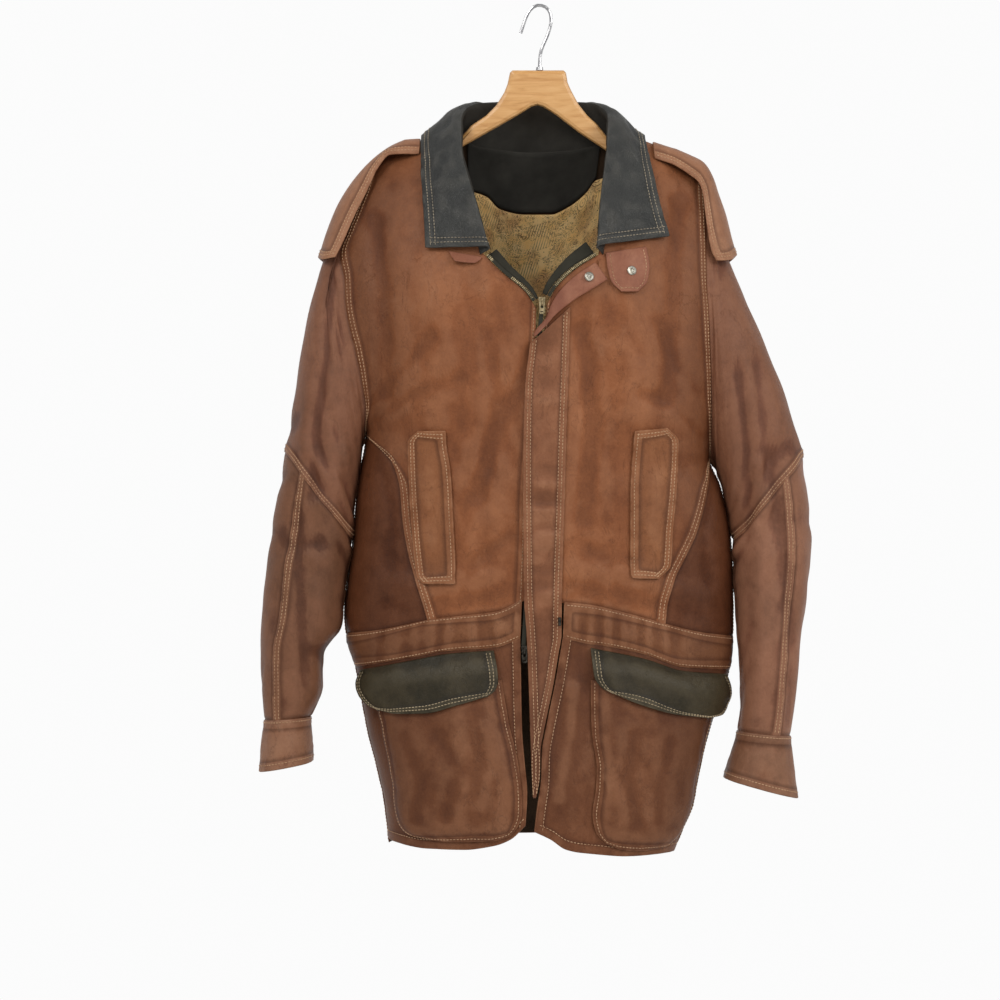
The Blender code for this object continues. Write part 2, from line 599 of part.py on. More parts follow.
# Collar: neck seam, roll and outer edge from the front left round the back to the front
# right, as (x, y, z)
COLLAR_ROLL = [(-62, -108, -297), (-77, -93, -248), (-89, -73, -210), (-97, -49, -175),
               (-98, -24, -139), (-89, 0, -120), (-72, 20, -113), (-40, 36, -112), (0, 43, -113),
               (40, 36, -112), (65, 20, -114), (78, 0, -121), (85, -24, -139), (83, -47, -175),
               (77, -75, -216), (72, -94, -253), (70, -108, -295)]
COLLAR_EDGE = [(-136, -93, -297), (-138, -82, -264), (-140, -67, -233), (-143, -45, -197),
               (-143, -24, -176), (-142, 2, -155), (-125, 34, -160), (-72, 53, -182),
               (0, 60, -190), (66, 53, -182), (113, 34, -160), (126, 2, -155),
               (130, -22, -174), (134, -41, -197), (140, -58, -228), (146, -67, -254),
               (154, -73, -282)]
COLLAR_SECTIONS = 26
STAND_STEPS = 5
FALL_STEPS = 6
COLLAR_LIFT = 1.0      # the neck seam of the collar stands this far off the body
RIDGE_LIFT = 2.2       # and this much more where it crosses the shoulder line
COLLAR_OVERLAP = 3.0   # the seam lies this far outside the body's neckline


def neck_seam():
    left = np.array(NECKLINE_LEFT[::-1], float) - (COLLAR_OVERLAP, 0)
    right = np.array(NECKLINE_RIGHT, float) + (COLLAR_OVERLAP, 0)
    left[-1, 1] = ridge_at(left[-1, 0])
    right[0, 1] = ridge_at(right[0, 0])
    middle = np.array(BACK_NECKLINE[1:-1], float) * (1 + COLLAR_OVERLAP / 90, 1)
    behind = np.concatenate([left[-1:], middle - (0, COLLAR_OVERLAP), right[:1]])
    parts = [(trace(left, 5), False), (trace(behind, 6)[1:-1], True), (trace(right, 5), False)]
    points = []
    for line, back_side in parts:
        where = on_body(line, back_side)
        near = np.exp(-((ridge_at(line[:, 0]) - line[:, 1]) / 12) ** 2)
        points.append(shell(where[:, 0], where[:, 1], COLLAR_LIFT + RIDGE_LIFT * near)[0])
    return np.concatenate(points)


def through(points, shares):
    points = np.array(points, float)
    along = np.concatenate([[0], np.cumsum(np.linalg.norm(np.diff(points, axis=0), axis=1))])
    along /= along[-1]
    return np.stack([smooth(along, points[:, axis])(shares) for axis in range(3)], axis=-1)


def collar_surface(shares, steps):
    """Points of the collar's upper surface: step 0 is the neck seam, 1 the roll, 2 the edge."""
    neck = through(neck_seam(), shares)
    keys = np.linspace(0, 1, len(COLLAR_ROLL))
    place = np.linspace(0, 1, len(COLLAR_ROLL))
    roll = np.stack([smooth(keys, np.array(COLLAR_ROLL, float)[:, a])(shares) for a in range(3)],
                    axis=-1)
    edge = np.stack([smooth(place, np.array(COLLAR_EDGE, float)[:, a])(shares)
                     for a in range(3)], axis=-1)
    up = roll - neck
    height = np.linalg.norm(up, axis=-1, keepdims=True)
    out = edge - neck
    out -= up * np.sum(out * up, axis=-1, keepdims=True) / height ** 2
    out /= np.linalg.norm(out, axis=-1, keepdims=True)
    turn = out * np.clip(height * 1.1, 14, 34)
    fall = edge - roll
    grid = []
    for step in steps:
        if step <= 1:
            grid.append(hermite(neck, roll, up, turn, step))
        else:
            grid.append(hermite(roll, edge, turn * 1.2, fall, step - 1))
    return np.stack(grid)


def hermite(start, end, leave, arrive, t):
    return ((1 + 2 * t) * (1 - t) ** 2 * start + t * (1 - t) ** 2 * leave
            + t * t * (3 - 2 * t) * end + t * t * (t - 1) * arrive)


def grid_directions(points):
    along = np.gradient(points, axis=1)
    down = np.gradient(points, axis=0)
    normal = np.cross(along, down)
    return normal / np.linalg.norm(normal, axis=-1, keepdims=True)


def collar():
    steps = np.concatenate([np.array([0, 0.35, 0.65, 0.85, 0.95]),
                            1 + np.array([0, 0.06, 0.15, 0.3, 0.55, 0.78, 1.0])])
    outer = collar_surface(np.linspace(0, 1, COLLAR_SECTIONS + 1), steps)
    out = grid_directions(outer)
    if np.sum(out[-1, COLLAR_SECTIONS // 2] * (0, 1, 0)) < 0:
        out = -out
    wall("collar", outer, outer - out * COLLAR_WALL, COLLAR_LEATHER)


# Pieces that lie on the body, as lines seen from the front
FLY_LEFT = [(-12, -412), (-18, -467), (-20, -562), (-19, -709), (-16, -755), (-14, -798),
            (-13, -826), (-11, -892), (-8.5, -950)]
FLY_RIGHT = [(35, -369), (33, -440), (31, -500), (28, -600), (25, -713), (24.5, -757),
             (21, -780), (15.5, -814), (10.5, -838), (3.5, -872), (-0.5, -896), (-1.5, -926),
             (-5.5, -950)]
TURNBACK_FOLD = [(-8, -400), (-3, -393), (7, -381), (12, -368), (23, -350), (44, -330),
                 (65, -316)]
TURNBACK_EDGE = [(-7, -404), (4, -393), (18, -377), (42, -358), (60, -347), (78, -336)]
THROAT_TAB = ([(78, -304), (80, -322), (84, -338), (95, -350)],
              [(125, -297), (128, -319), (125, -338), (114, -350)])
COLLAR_TAB = ([(-108, -302), (-105, -308), (-100, -315)], [(-70, -309), (-72, -312), (-78, -316)])
WELTS = {
    "left": ([(-145, -516), (-157, -529), (-155, -592), (-151, -646), (-146, -688), (-138, -697)],
             [(-112, -516), (-112, -527), (-107, -562), (-103, -635), (-101, -690),
              (-101, -697)]),
    "right": ([(112, -516), (111, -527), (107, -592), (107, -650), (107, -685), (109, -690)],
              [(150, -512), (163, -527), (162, -570), (157, -635), (155, -675), (140, -691)]),
}
# Pocket bags and flaps: top, bottom, left and right edges
BAGS = {
    "left": ([(-197, -836), (-120, -822), (-46, -812)],
             [(-148, -1000), (-112, -1004), (-60, -1003), (-37, -997)],
             [(-197, -836), (-185, -887), (-175, -940), (-172, -972), (-161, -994),
              (-148, -1000)],
             [(-46, -812), (-37, -865), (-27, -908), (-22, -950), (-22, -968), (-27, -985),
              (-37, -997)]),
    "right": ([(60, -812), (130, -832), (207, -848)],
              [(78, -1006), (96, -1013), (115, -1015), (152, -1012)],
              [(60, -812), (60, -839), (61, -876), (67, -918), (66, -940), (62, -972),
               (66, -992), (78, -1006)],
              [(207, -848), (199, -875), (186, -930), (180, -962), (169, -990), (152, -1012)]),
}
FLAPS = {
    "left": ([(-214, -802), (-155, -790), (-107, -781), (-56, -777)],
             [(-188, -848), (-167, -852), (-133, -851), (-101, -843), (-62, -832)],
             [(-214, -802), (-213, -812), (-208, -828), (-200, -841), (-188, -848)],
             [(-56, -777), (-51, -800), (-50, -815), (-54, -826), (-62, -832)]),
    "right": ([(60, -774), (126, -788), (169, -802), (222, -807)],
              [(83, -828), (113, -840), (161, -853), (192, -856)],
              [(60, -774), (61, -790), (63, -808), (72, -822), (83, -828)],
              [(222, -807), (221, -820), (215, -840), (207, -852), (192, -856)]),
}
FLAP_WALL = 2.2
BAG_BULGE = 7.0        # hollow depth of the lower pockets
NECK_FACING_TOP = [(-90, -167), (-76, -174), (-50, -178), (-6, -181), (40, -178), (62, -174),
                   (77, -167)]
NECK_FACING_LOW = [(-88, -216), (-65, -223), (-48, -238), (-18, -244), (14, -244), (36, -235),
                   (58, -218), (70, -202)]
LINING_TOP = [(-122, -214), (-88, -219), (-65, -226), (-48, -241), (-18, -247), (14, -247),
              (36, -238), (58, -221), (72, -205), (108, -200)]
LINING_LOW = -412


def ruled(left, right, rows, columns, back=False, shares=None):
    """A grid between two lines, in angles round the body and heights."""
    a = on_body(trace(left, rows, shares), back)[:, None]
    b = on_body(trace(right, rows, shares), back)[:, None]
    across = np.linspace(0, 1, columns + 1)[None, :, None]
    return a + (b - a) * across


def layer(name, grid, thickness, look, lift=0.0):
    """A piece that lies on the body: its underside is moved out by the gap and by lift."""
    top = np.broadcast_to(LAYER_GAP + thickness + lift, grid.shape[:2])
    outer, out = shell(grid[..., 0], grid[..., 1], top)
    wall(name, outer, outer - out * thickness, look)


def fly():
    rows = 22
    grid = ruled(FLY_LEFT, FLY_RIGHT, rows, 3)
    height = grid[..., 1]
    across = np.linspace(1, 0, 4)[None, :]
    free = np.clip((height + 900) / 150, 0.15, 1)
    layer("fly_flap", grid, 1.8, LEATHER, lift=FLY_LIFT * across * free)
    grid = ruled(TURNBACK_FOLD, TURNBACK_EDGE, 10, 3)
    along = np.linspace(0, 1, 11)[:, None]
    rise = np.array([0.04, 0.4, 0.75, 1.0])[None, :]
    layer("fly_turned_back", grid, 1.8, INNER_LEATHER, lift=FLY_LIFT * rise * (0.6 + 0.4 * along))


FLY_LIFT = 4.5         # the free edge of the fly stands over the zip


def tabs():
    layer("throat_tab", ruled(*THROAT_TAB, 5, 5), 2.0, LEATHER)
    layer("collar_tab", ruled(*COLLAR_TAB, 2, 3), 1.8, LEATHER)


def chest_welts():
    for side, lines in WELTS.items():
        rows = np.array([0, 0.05, 0.2, 0.4, 0.6, 0.8, 0.95, 1.0])
        grid = ruled(*lines, 7, 4, shares=rows)
        across = np.sin(math.pi * np.linspace(0, 1, 5))[None, :] * np.ones((8, 1))
        layer("chest_welt_" + side, grid, 2.2, LEATHER, lift=0.3 + across * 1.2)


def lower_pockets():
    shares = np.array([0, 0.05, 0.13, 0.3, 0.5, 0.7, 0.87, 0.95, 1.0])
    edge = np.sin(np.minimum(shares, 1 - shares).clip(0, 0.13) / 0.13 * math.pi / 2)
    down = np.array([0, 0.15, 0.35, 0.55, 0.75, 0.87, 0.95, 1.0])
    low = np.sin(np.minimum(1 - down, 0.13) / 0.13 * math.pi / 2)
    for side in SIDES:
        top, bottom, left, right = BAGS[side]
        grid = blend(top, bottom, left, right, shares, down)
        layer("pocket_bag_" + side, grid, WALL, LEATHER, lift=BAG_BULGE * low[:, None] * edge)
        top, bottom, left, right = FLAPS[side]
        rows = np.array([0, 0.15, 0.4, 0.6, 0.8, 1.0])
        columns = np.array([0, 0.05, 0.12, 0.21, 0.33, 0.5, 0.67, 0.84, 1.0])
        if side == "right":
            columns = 1 - columns[::-1]
        grid = blend(top, bottom, left, right, columns, rows)
        rise = np.sin(np.minimum(rows, 0.42) / 0.42 * math.pi / 2)[:, None]
        layer("pocket_flap_" + side, grid, FLAP_WALL, POCKET_LEATHER,
              lift=(BAG_BULGE + WALL + 1.4) * rise * np.ones(9))


def blend(top, bottom, left, right, along, down):
    """A grid between four lines with its rows and columns at uneven shares."""
    a = on_body(trace(top, len(along) - 1, along))
    b = on_body(trace(bottom, len(along) - 1, along))
    c = on_body(trace(left, len(down) - 1, down))
    d = on_body(trace(right, len(down) - 1, down))
    v = np.array(down)[:, None, None]
    u = np.array(along)[None, :, None]
    return ((1 - v) * a[None] + v * b[None] + (1 - u) * c[:, None] + u * d[:, None]
            - (1 - v) * ((1 - u) * a[0] + u * a[-1]) - v * ((1 - u) * b[0] + u * b[-1]))


def beside(points, distance):
    """The line moved sideways, to the left of its direction."""
    points = trace(points, 6)
    run = np.gradient(points, axis=0)
    run /= np.linalg.norm(run, axis=1, keepdims=True)
    return points + np.stack([-run[:, 1], run[:, 0]], axis=-1) * np.reshape(distance, (-1, 1))


def neck_inside():
    """What shows inside the open neck: the facing, the lining and both zip edges."""
    grid = np.swapaxes(ruled(NECK_FACING_TOP, NECK_FACING_LOW, 12, 3, back=True), 0, 1)
    inside("neck_facing", grid, BLACK_CLOTH, 3.2)
    low = [(x, LINING_LOW) for x in (LINING_TOP[0][0], 0, LINING_TOP[-1][0])]
    grid = np.swapaxes(ruled(LINING_TOP, low, 12, 7, back=True), 0, 1)
    inside("lining", grid, PRINTED_CLOTH, 4.6)
    for side, turn, wide, narrow in (("left", 1, 15, 8), ("right", -1, 34, 9)):
        line = trace(SIDES[side]["zip"], 6, np.linspace(0.06, 0.9, 7))
        a = on_body(beside(line, turn * 0.7))[:, None]
        b = on_body(beside(line, turn * 4.9))[:, None]
        across = np.linspace(0, 1, 3)[None, :, None]
        grid = a + (b - a) * across
        outer, out = shell(grid[..., 0], grid[..., 1], 0.8)
        wall("zip_teeth_" + side, outer, outer - out * 2.4, NICKEL)
        a = on_body(beside(line, turn * 5.6))[:, None]
        b = on_body(beside(line, turn * np.linspace(wide, narrow, 7)))[:, None]
        across = np.linspace(0, 1, 4)[None, :, None]
        grid = a + (b - a) * across
        sink = -0.6 - 5.0 * np.linspace(0, 1, 4)[None, :] * np.ones((7, 1))
        outer, out = shell(grid[..., 0], grid[..., 1], sink)
        wall("zip_facing_" + side, outer, outer - out * LINING_WALL, BLACK_CLOTH)


def inside(name, grid, look, depth):
    outer, out = shell(grid[..., 0], grid[..., 1], -depth)
    wall(name, outer, outer - out * LINING_WALL, look)


# Shoulder straps: the line of the shoulder, and the strap's front edge with its depth
STRAPS = {
    "left": [((-146, -158), (-146, -180, -27)), ((-160, -163), (-160, -180, -26)),
             ((-178, -171), (-180, -181, -26)), ((-199, -186), (-196, -198, -28)),
             ((-220, -208), (-208, -224, -33)), ((-241, -240), (-224, -257, -40)),
             ((-257, -278), (-238, -290, -46)), ((-262, -294), (-246, -306, -48))],
    "right": [((139, -162), (139, -185, -27)), ((158, -172), (159, -192, -26)),
              ((180, -182), (179, -204, -27)), ((197, -191), (193, -216, -30)),
              ((207, -207), (198, -232, -34)), ((214, -228), (200, -254, -39)),
              ((223, -254), (203, -280, -43)), ((230, -280), (207, -300, -46)),
              ((233, -291), (212, -310, -47))],
}
STRAP_WALL = 2.0
STRAP_LIFT = 3.2
STRAP_SINK = 5.2       # the sewn end at the collar lies this much closer to the shoulder


def shoulder_straps():
    for side, stations in STRAPS.items():
        keys = np.linspace(0, 1, len(stations))
        data = np.array([[*crest, *edge] for crest, edge in stations], float)
        rows = np.linspace(0, 1, 13)
        crest_x, crest_z, edge_x, edge_z, edge_y = (
            smooth(keys, column)(rows)[:, None] for column in data.T)
        turn = np.linspace(-1, 1, 9)[None, :] * math.pi / 2
        dip = 1 - np.cos(turn)
        behind = np.where(turn > 0, 0.82, 1.0)
        tip = STRAP_TIP * np.abs(np.sin(turn * 2)) * (rows[:, None] ** 6)
        grid = np.stack([crest_x + (edge_x - crest_x) * dip, -edge_y * np.sin(turn) * behind,
                         crest_z + (edge_z - crest_z) * dip - tip], axis=-1)
        out = grid_directions(grid)
        if out[3, 4, 2] < 0:
            out = -out
        sewn = np.clip(1 - rows / 0.16, 0, 1)[:, None, None]
        outer = grid + out * (STRAP_LIFT - STRAP_SINK * sewn)
        wall("shoulder_strap_" + side, outer, outer - out * STRAP_WALL, LEATHER)


STRAP_TIP = 11.0       # the end of the strap is pointed by this much

# Zip hardware and studs
SLIDERS = {"top": (1.8, -362.0), "bottom": (-18.8, -776.0)}
SLIDER_SIZE = (8.4, 4.6, 10.5)
BAIL_WIRE = 0.8
BAIL_REACH = 2.3       # from the pull's axis to the middle of the bail's wire
AXIS_OUT = 2.2         # the pull's axis stands this far before the slider's face
PULL_WIDTH = 6.4
PULL_LENGTH = 14.0
PULL_THICK = 1.5
STUDS = {"throat_stud": ((107, -326), 2.0, 0.0), "fly_stud": ((57, -333), 1.8, 3.25)}


def slider_places(name):
    x, z = SLIDERS[name]
    surface = shell(angle_of(np.array(x), np.array(z)), np.array(z))[0][1]
    face = surface - SLIDER_SIZE[1] / 2 - 1.0
    return x, surface - 1.0, z, face


def zip_parts():
    line = np.array(CHAIN, float)
    start = line[0] + (0, 4.4)
    end = line[-1] + (0, 1.6)
    points = np.concatenate([[start], line[1:-1], [end]])
    grid = ruled(points - (CHAIN_HALF, 0), points + (CHAIN_HALF, 0), 12, 1)
    outer, out = shell(grid[..., 0], grid[..., 1], 0.8)
    wall("zip_chain", outer, outer - out * 2.4, NICKEL)
    for name in SLIDERS:
        x, middle, z, face = slider_places(name)
        axis = Vector((x, face - AXIS_OUT, z - 1.2)) * MM
        slider(name, x, middle, z, face, axis)
        pull(name, axis)


def slider(name, x, middle, z, face, axis):
    form = bmesh.new()
    bmesh.ops.create_cube(form, size=1.0)
    for vert in form.verts:
        narrow = 0.72 if vert.co.z < 0 else 1.0
        vert.co = Vector((vert.co.x * SLIDER_SIZE[0] * narrow, vert.co.y * SLIDER_SIZE[1],
                          vert.co.z * SLIDER_SIZE[2])) * MM
    bmesh.ops.bevel(form, geom=list(form.edges), offset=0.8 * MM, segments=2, affect="EDGES")
    bmesh.ops.translate(form, verts=form.verts, vec=Vector((x, middle, z)) * MM)
    mesh = bpy.data.meshes.new("zip_slider_" + name)
    form.to_mesh(mesh)
    form.free()
    body = finish("zip_slider_" + name, mesh, BRASS)
    reach = BAIL_REACH * MM
    inward = 0.8 * MM
    face_y = face * MM + inward
    top = axis.z + 4.4 * MM
    arch = tube("bail_" + name, [(axis.x, face_y, axis.z - reach),
                                 (axis.x, axis.y - reach * 0.75, axis.z - reach),
                                 (axis.x, axis.y - reach, axis.z - reach * 0.75),
                                 (axis.x, axis.y - reach, top - reach * 0.25),
                                 (axis.x, axis.y - reach * 0.75, top),
                                 (axis.x, face_y, top)], BAIL_WIRE * MM, 2)
    solid = as_mesh(arch)
    join = body.modifiers.new("bail", "BOOLEAN")
    join.operation = "UNION"
    join.object = solid
    solid.hide_render = True
    solid.display_type = "WIRE"


def tube(name, points, radius, rounding):
    curve = bpy.data.curves.new(name, "CURVE")
    curve.dimensions = "3D"
    curve.bevel_depth = radius
    curve.bevel_resolution = rounding
    curve.use_fill_caps = True
    line = curve.splines.new("POLY")
    line.points.add(len(points) - 1)
    for point, place in zip(line.points, points):
        point.co = (*place, 1.0)
    thing = bpy.data.objects.new(name, curve)
    bpy.context.scene.collection.objects.link(thing)
    return thing


def as_mesh(curve_object):
    """The curve as a mesh whose caps are welded; the curve is removed."""
    bpy.context.view_layer.update()
    evaluated = curve_object.evaluated_get(bpy.context.evaluated_depsgraph_get())
    mesh = bpy.data.meshes.new_from_object(evaluated)
    form = bmesh.new()
    form.from_mesh(mesh)
    bmesh.ops.remove_doubles(form, verts=form.verts, dist=1e-6)
    bmesh.ops.recalc_face_normals(form, faces=form.faces)
    form.to_mesh(mesh)
    form.free()
    solid = bpy.data.objects.new(curve_object.name + "_solid", mesh)
    solid.matrix_world = curve_object.matrix_world
    bpy.context.scene.collection.objects.link(solid)
    bpy.data.objects.remove(curve_object)
    return solid


def plate(name, outlines, thickness, look, rounding=0.0):
    """A flat outline in the plane y = 0, with holes, as thick as given."""
    curve = bpy.data.curves.new(name, "CURVE")
    curve.dimensions = "2D"
    curve.fill_mode = "BOTH"
    curve.extrude = thickness / 2 * MM - rounding * MM
    curve.bevel_depth = rounding * MM
    curve.bevel_resolution = 1
    curve.offset = -rounding * MM
    for outline in outlines:
        line = curve.splines.new("POLY")
        line.points.add(len(outline) - 1)
        line.use_cyclic_u = True
        for point, (x, z) in zip(line.points, outline):
            point.co = (x * MM, z * MM, 0, 1.0)
    thing = bpy.data.objects.new(name, curve)
    bpy.context.scene.collection.objects.link(thing)
    solid = as_mesh(thing)
    mesh = solid.data
    mesh.transform(Matrix.Rotation(math.radians(90), 4, "X"))
    bpy.data.objects.remove(solid)
    return finish(name, mesh, look)


def pull(name, axis):
    half = PULL_WIDTH / 2
    body = plate("zip_pull_" + name, [
        [(-half + 0.8, 0.8), (half - 0.8, 0.8), (half, 0), (half, -PULL_LENGTH + 1.5),
         (half - 1.5, -PULL_LENGTH), (-half + 1.5, -PULL_LENGTH), (-half, -PULL_LENGTH + 1.5),
         (-half, 0)],
        [(-1.5, -0.8), (-1.5, -6.8), (1.5, -6.8), (1.5, -0.8)],
        [(-1.8, -10.6), (-1.8, -11.8), (1.8, -11.8), (1.8, -10.6)]], PULL_THICK, BRASS)
    body.location = axis


def studs():
    profile = [(0, 0.7), (2.0, 0.7), (2.6, 1.5), (4.6, 1.8), (5.5, 1.2), (5.5, 0), (0, 0)]
    for name, ((x, z), under, lift) in STUDS.items():
        where = angle_of(np.array(x), np.array(z))
        place, out = shell(where, np.array(z), LAYER_GAP + under + lift + 0.45)
        mesh = bpy.data.meshes.new(name)
        points = [(r * MM, 0, h * MM) for r, h in profile]
        mesh.from_pydata(points, [(i, i + 1) for i in range(len(points) - 1)], [])
        stud = finish(name, mesh, NICKEL)
        turn = stud.modifiers.new("turned", "SCREW")
        turn.steps = turn.render_steps = 20
        turn.use_merge_vertices = True
        turn.merge_threshold = 1e-5
        turn.use_normal_flip = False
        stud.rotation_euler = Vector(out).to_track_quat("Z", "Y").to_euler()
        stud.location = Vector(place) * MM


def drawcord_end():
    x, z = 23.0, -742.0
    where = angle_of(np.array(x), np.array(z))
    surface = shell(where, np.array(z), 5.55)[0]
    tip = tube("drawcord_tip", [(x * MM, surface[1] * MM, (z + 5) * MM),
                                (x * MM, surface[1] * MM, (z - 5) * MM)], 1.9 * MM, 2)
    solid = as_mesh(tip)
    mesh = solid.data
    bpy.data.objects.remove(solid)
    finish("drawcord_tip", mesh, BRASS)


# Hanger
BLOCK_TOP = -77
HANGER_LEFT = [(-36, -80), (-39, -94), (-43, -104), (-53, -120), (-65, -132), (-83, -144),
               (-98, -161)]
HANGER_RIGHT = [(32, -80), (34, -92), (38, -101), (47, -118), (58, -132), (70, -143), (84, -160)]
HANGER_UNDER = [(98, -180), (82, -175), (47, -152), (20, -131), (4, -121), (-3, -119),
                (-10, -121), (-26, -131), (-50, -145), (-98, -172), (-114, -178)]
ARM_ENDS = (-188, 178)
ARM_HEIGHT = 17
ARM_CLEARANCE = (6.0, 10.0)   # gap from the shoulder line to the arms, at the neck and the tip
ARM_TIP = 5
HOOK_PATH = [(0, -72.8), (0.3, -62), (2, -53), (5, -45), (9, -36), (12, -27), (14, -17),
             (13, -8), (9, -1.6), (3.5, 1.6), (-2, 2.0), (-8, -0.5), (-13, -6), (-17, -14),
             (-20, -23), (-23, -32)]


def arm(start, end):
    """An arm's outline from its top at the neck round the tip and back below."""
    places = np.linspace(start, end, 6)
    under = np.linspace(*ARM_CLEARANCE, 6)
    top = [(x, ridge_at(x) - gap) for x, gap in zip(places, under)]
    low = [(x, z - ARM_HEIGHT) for x, z in top[:0:-1]]
    tip = end + math.copysign(ARM_TIP, end)
    return top + [(tip, top[-1][1] - ARM_TIP), (tip, low[0][1] + ARM_TIP)] + low


def hanger():
    left = arm(-110, ARM_ENDS[0])
    right = arm(98, ARM_ENDS[1])
    outline = ([(-33, BLOCK_TOP), (29, BLOCK_TOP)] + HANGER_RIGHT + right + HANGER_UNDER
               + left[::-1] + HANGER_LEFT[::-1])
    plate("hanger", [outline], HANGER_THICK, WOOD, rounding=4.6)
    form = bmesh.new()
    bmesh.ops.create_cone(form, cap_ends=True, segments=20, radius1=4.6 * MM, radius2=4.0 * MM,
                          depth=3.6 * MM)
    bmesh.ops.translate(form, verts=form.verts, vec=(0, 0, (BLOCK_TOP + 2.1) * MM))
    mesh = bpy.data.meshes.new("hook_ferrule")
    form.to_mesh(mesh)
    form.free()
    finish("hook_ferrule", mesh, CHROME)
    points = np.array(HOOK_PATH, float)
    along = np.concatenate([[0], np.cumsum(np.hypot(*np.diff(points, axis=0).T))])
    places = np.linspace(0, along[-1], 26)
    x = smooth(along, points[:, 0])(places)
    z = smooth(along, points[:, 1])(places)
    hook = tube("hook_wire", [(a * MM, 0, b * MM) for a, b in zip(x, z)], HOOK_WIRE / 2 * MM, 2)
    solid = as_mesh(hook)
    mesh = solid.data
    bpy.data.objects.remove(solid)
    finish("hanger_hook", mesh, CHROME)


def main():
    for thing in list(bpy.data.objects):
        bpy.data.objects.remove(thing)
    bpy.context.scene.collection.children.link(coat)
    for side in SIDES:
        front_and_side(side)
    back()
    sleeves()
    collar()
    fly()
    tabs()
    chest_welts()
    lower_pockets()
    neck_inside()
    shoulder_straps()
    zip_parts()
    studs()
    drawcord_end()
    hanger()


main()
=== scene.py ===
import math
import bpy
import bmesh
import numpy as np
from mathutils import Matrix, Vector


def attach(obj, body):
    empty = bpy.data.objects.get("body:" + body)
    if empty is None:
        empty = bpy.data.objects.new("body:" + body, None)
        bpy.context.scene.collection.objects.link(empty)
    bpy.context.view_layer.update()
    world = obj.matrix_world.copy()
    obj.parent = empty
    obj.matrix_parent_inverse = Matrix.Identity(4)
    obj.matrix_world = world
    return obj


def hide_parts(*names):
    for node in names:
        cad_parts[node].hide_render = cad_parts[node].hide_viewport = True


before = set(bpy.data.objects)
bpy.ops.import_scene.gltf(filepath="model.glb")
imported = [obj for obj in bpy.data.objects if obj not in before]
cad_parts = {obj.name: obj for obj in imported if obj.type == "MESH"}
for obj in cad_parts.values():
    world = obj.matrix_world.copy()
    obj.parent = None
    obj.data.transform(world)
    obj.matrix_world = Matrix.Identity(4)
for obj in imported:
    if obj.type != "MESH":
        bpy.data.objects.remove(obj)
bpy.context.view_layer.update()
mm = 0.001

# The body's form, in mm: x to the right, y behind, z up, from the hanger's hook
chestDepth = 106.0    # the front stands this far before the hanger's plane
backDepth = 74.0      # the back stands this far behind it
shoulderDrop = 210.0  # below the shoulder line the body is at its full depth
sideTurn = math.pi / 2 - 1e-6   # angle of the side seams, just on the front
sectionPower = 0.75   # roundness of the body's section: 1 is an ellipse
centreX = -4.0        # middle of the body, a little beside the hook
ridge = [(-252, -245), (-234, -226), (-220, -211), (-203, -192), (-175, -175), (-140, -161),
         (-102, -153), (-60, -141), (0, -134), (50, -141), (89, -153), (120, -160), (144, -169),
         (170, -182), (196, -193), (210, -209), (228, -238)]
edgeLeft = [(-252, -196), (-262, -248), (-268, -302), (-264, -340), (-254, -390), (-243, -425),
             (-228, -463), (-217, -490), (-210, -518), (-219, -574), (-224, -622), (-227, -658),
             (-233, -698), (-236, -734), (-233, -763), (-223, -797), (-216, -833), (-208, -876),
             (-197, -920), (-188, -961), (-182, -1012)]
edgeRight = [(216, -196), (219, -256), (222, -320), (224, -384), (222, -442), (216, -485),
              (208, -520), (205, -547), (218, -581), (229, -630), (233, -677), (234, -742),
              (230, -798), (216, -841), (199, -899), (191, -936), (185, -968), (173, -996),
              (162, -1024)]
frontDepth = [(0.95, -130), (0.99, -300), (1.0, -420), (0.98, -560), (0.93, -700), (0.90, -775),
               (0.96, -850), (1.02, -940), (0.99, -1024)]
backDepths = [(1.0, -130), (1.0, -420), (0.94, -600), (0.86, -760), (0.95, -880), (1.0, -1024)]
armholeLeft = [(-203, -192), (-210, -222), (-220, -248), (-229, -272), (-239, -302),
                (-234, -330), (-232, -362), (-227, -390), (-219, -420), (-211, -463),
                (-208, -490), (-210, -518)]
armholeRight = [(202, -199), (198, -222), (199, -256), (199, -320), (202, -384), (204, -442),
                 (205, -500), (205, -547)]
curvedSeamLeft = [(-210, -518), (-200, -528), (-178, -548), (-167, -581), (-163, -622),
                    (-155, -666), (-145, -698), (-133, -741)]
curvedSeamRight = [(205, -547), (199, -587), (186, -635), (172, -666), (158, -695),
                     (151, -720), (148, -746)]
necklineLeft = [(-102, -153), (-98, -180), (-89, -215), (-79, -250), (-68, -305)]
necklineRight = [(89, -153), (85, -180), (79, -223), (75, -256), (71, -305)]
backNeckline = [(-102, -153), (-84, -166), (-50, -176), (-6, -179), (40, -176), (72, -166),
                 (89, -153)]
zipLeft = [(-68, -305), (-46, -327), (-18, -351), (-5, -370)]
zipRight = [(71, -305), (40, -325), (18, -347), (8, -365)]
chain = [(1.5, -372), (-6, -478), (-12, -598), (-17, -718), (-20, -772)]
waistTopLeft = [(-235, -760), (-197, -755), (-133, -741), (-98, -737), (-55, -732),
                  (-38, -726), (-22, -716)]
waistTopRight = [(233, -763), (191, -757), (148, -746), (104, -734), (61, -724), (25, -720),
                   (-12, -716)]
waistLowLeft = [(-223, -797), (-204, -794), (-155, -785), (-107, -776), (-55, -772),
                  (-24, -761)]
waistLowRight = [(230, -800), (169, -796), (126, -781), (77, -770), (55, -767), (27, -760)]
waistTopBackSide = -762
waistTopBack = -750
waistLowBackSide = -799
waistLowBack = -787
hemLeft = [(-182, -1006), (-137, -1013), (-90, -1013), (-55, -1008), (-35, -1000), (-18, -984)]
hemRight = [(162, -1020), (104, -1021), (47, -1016), (30, -1012), (12, -1000), (-7, -991)]
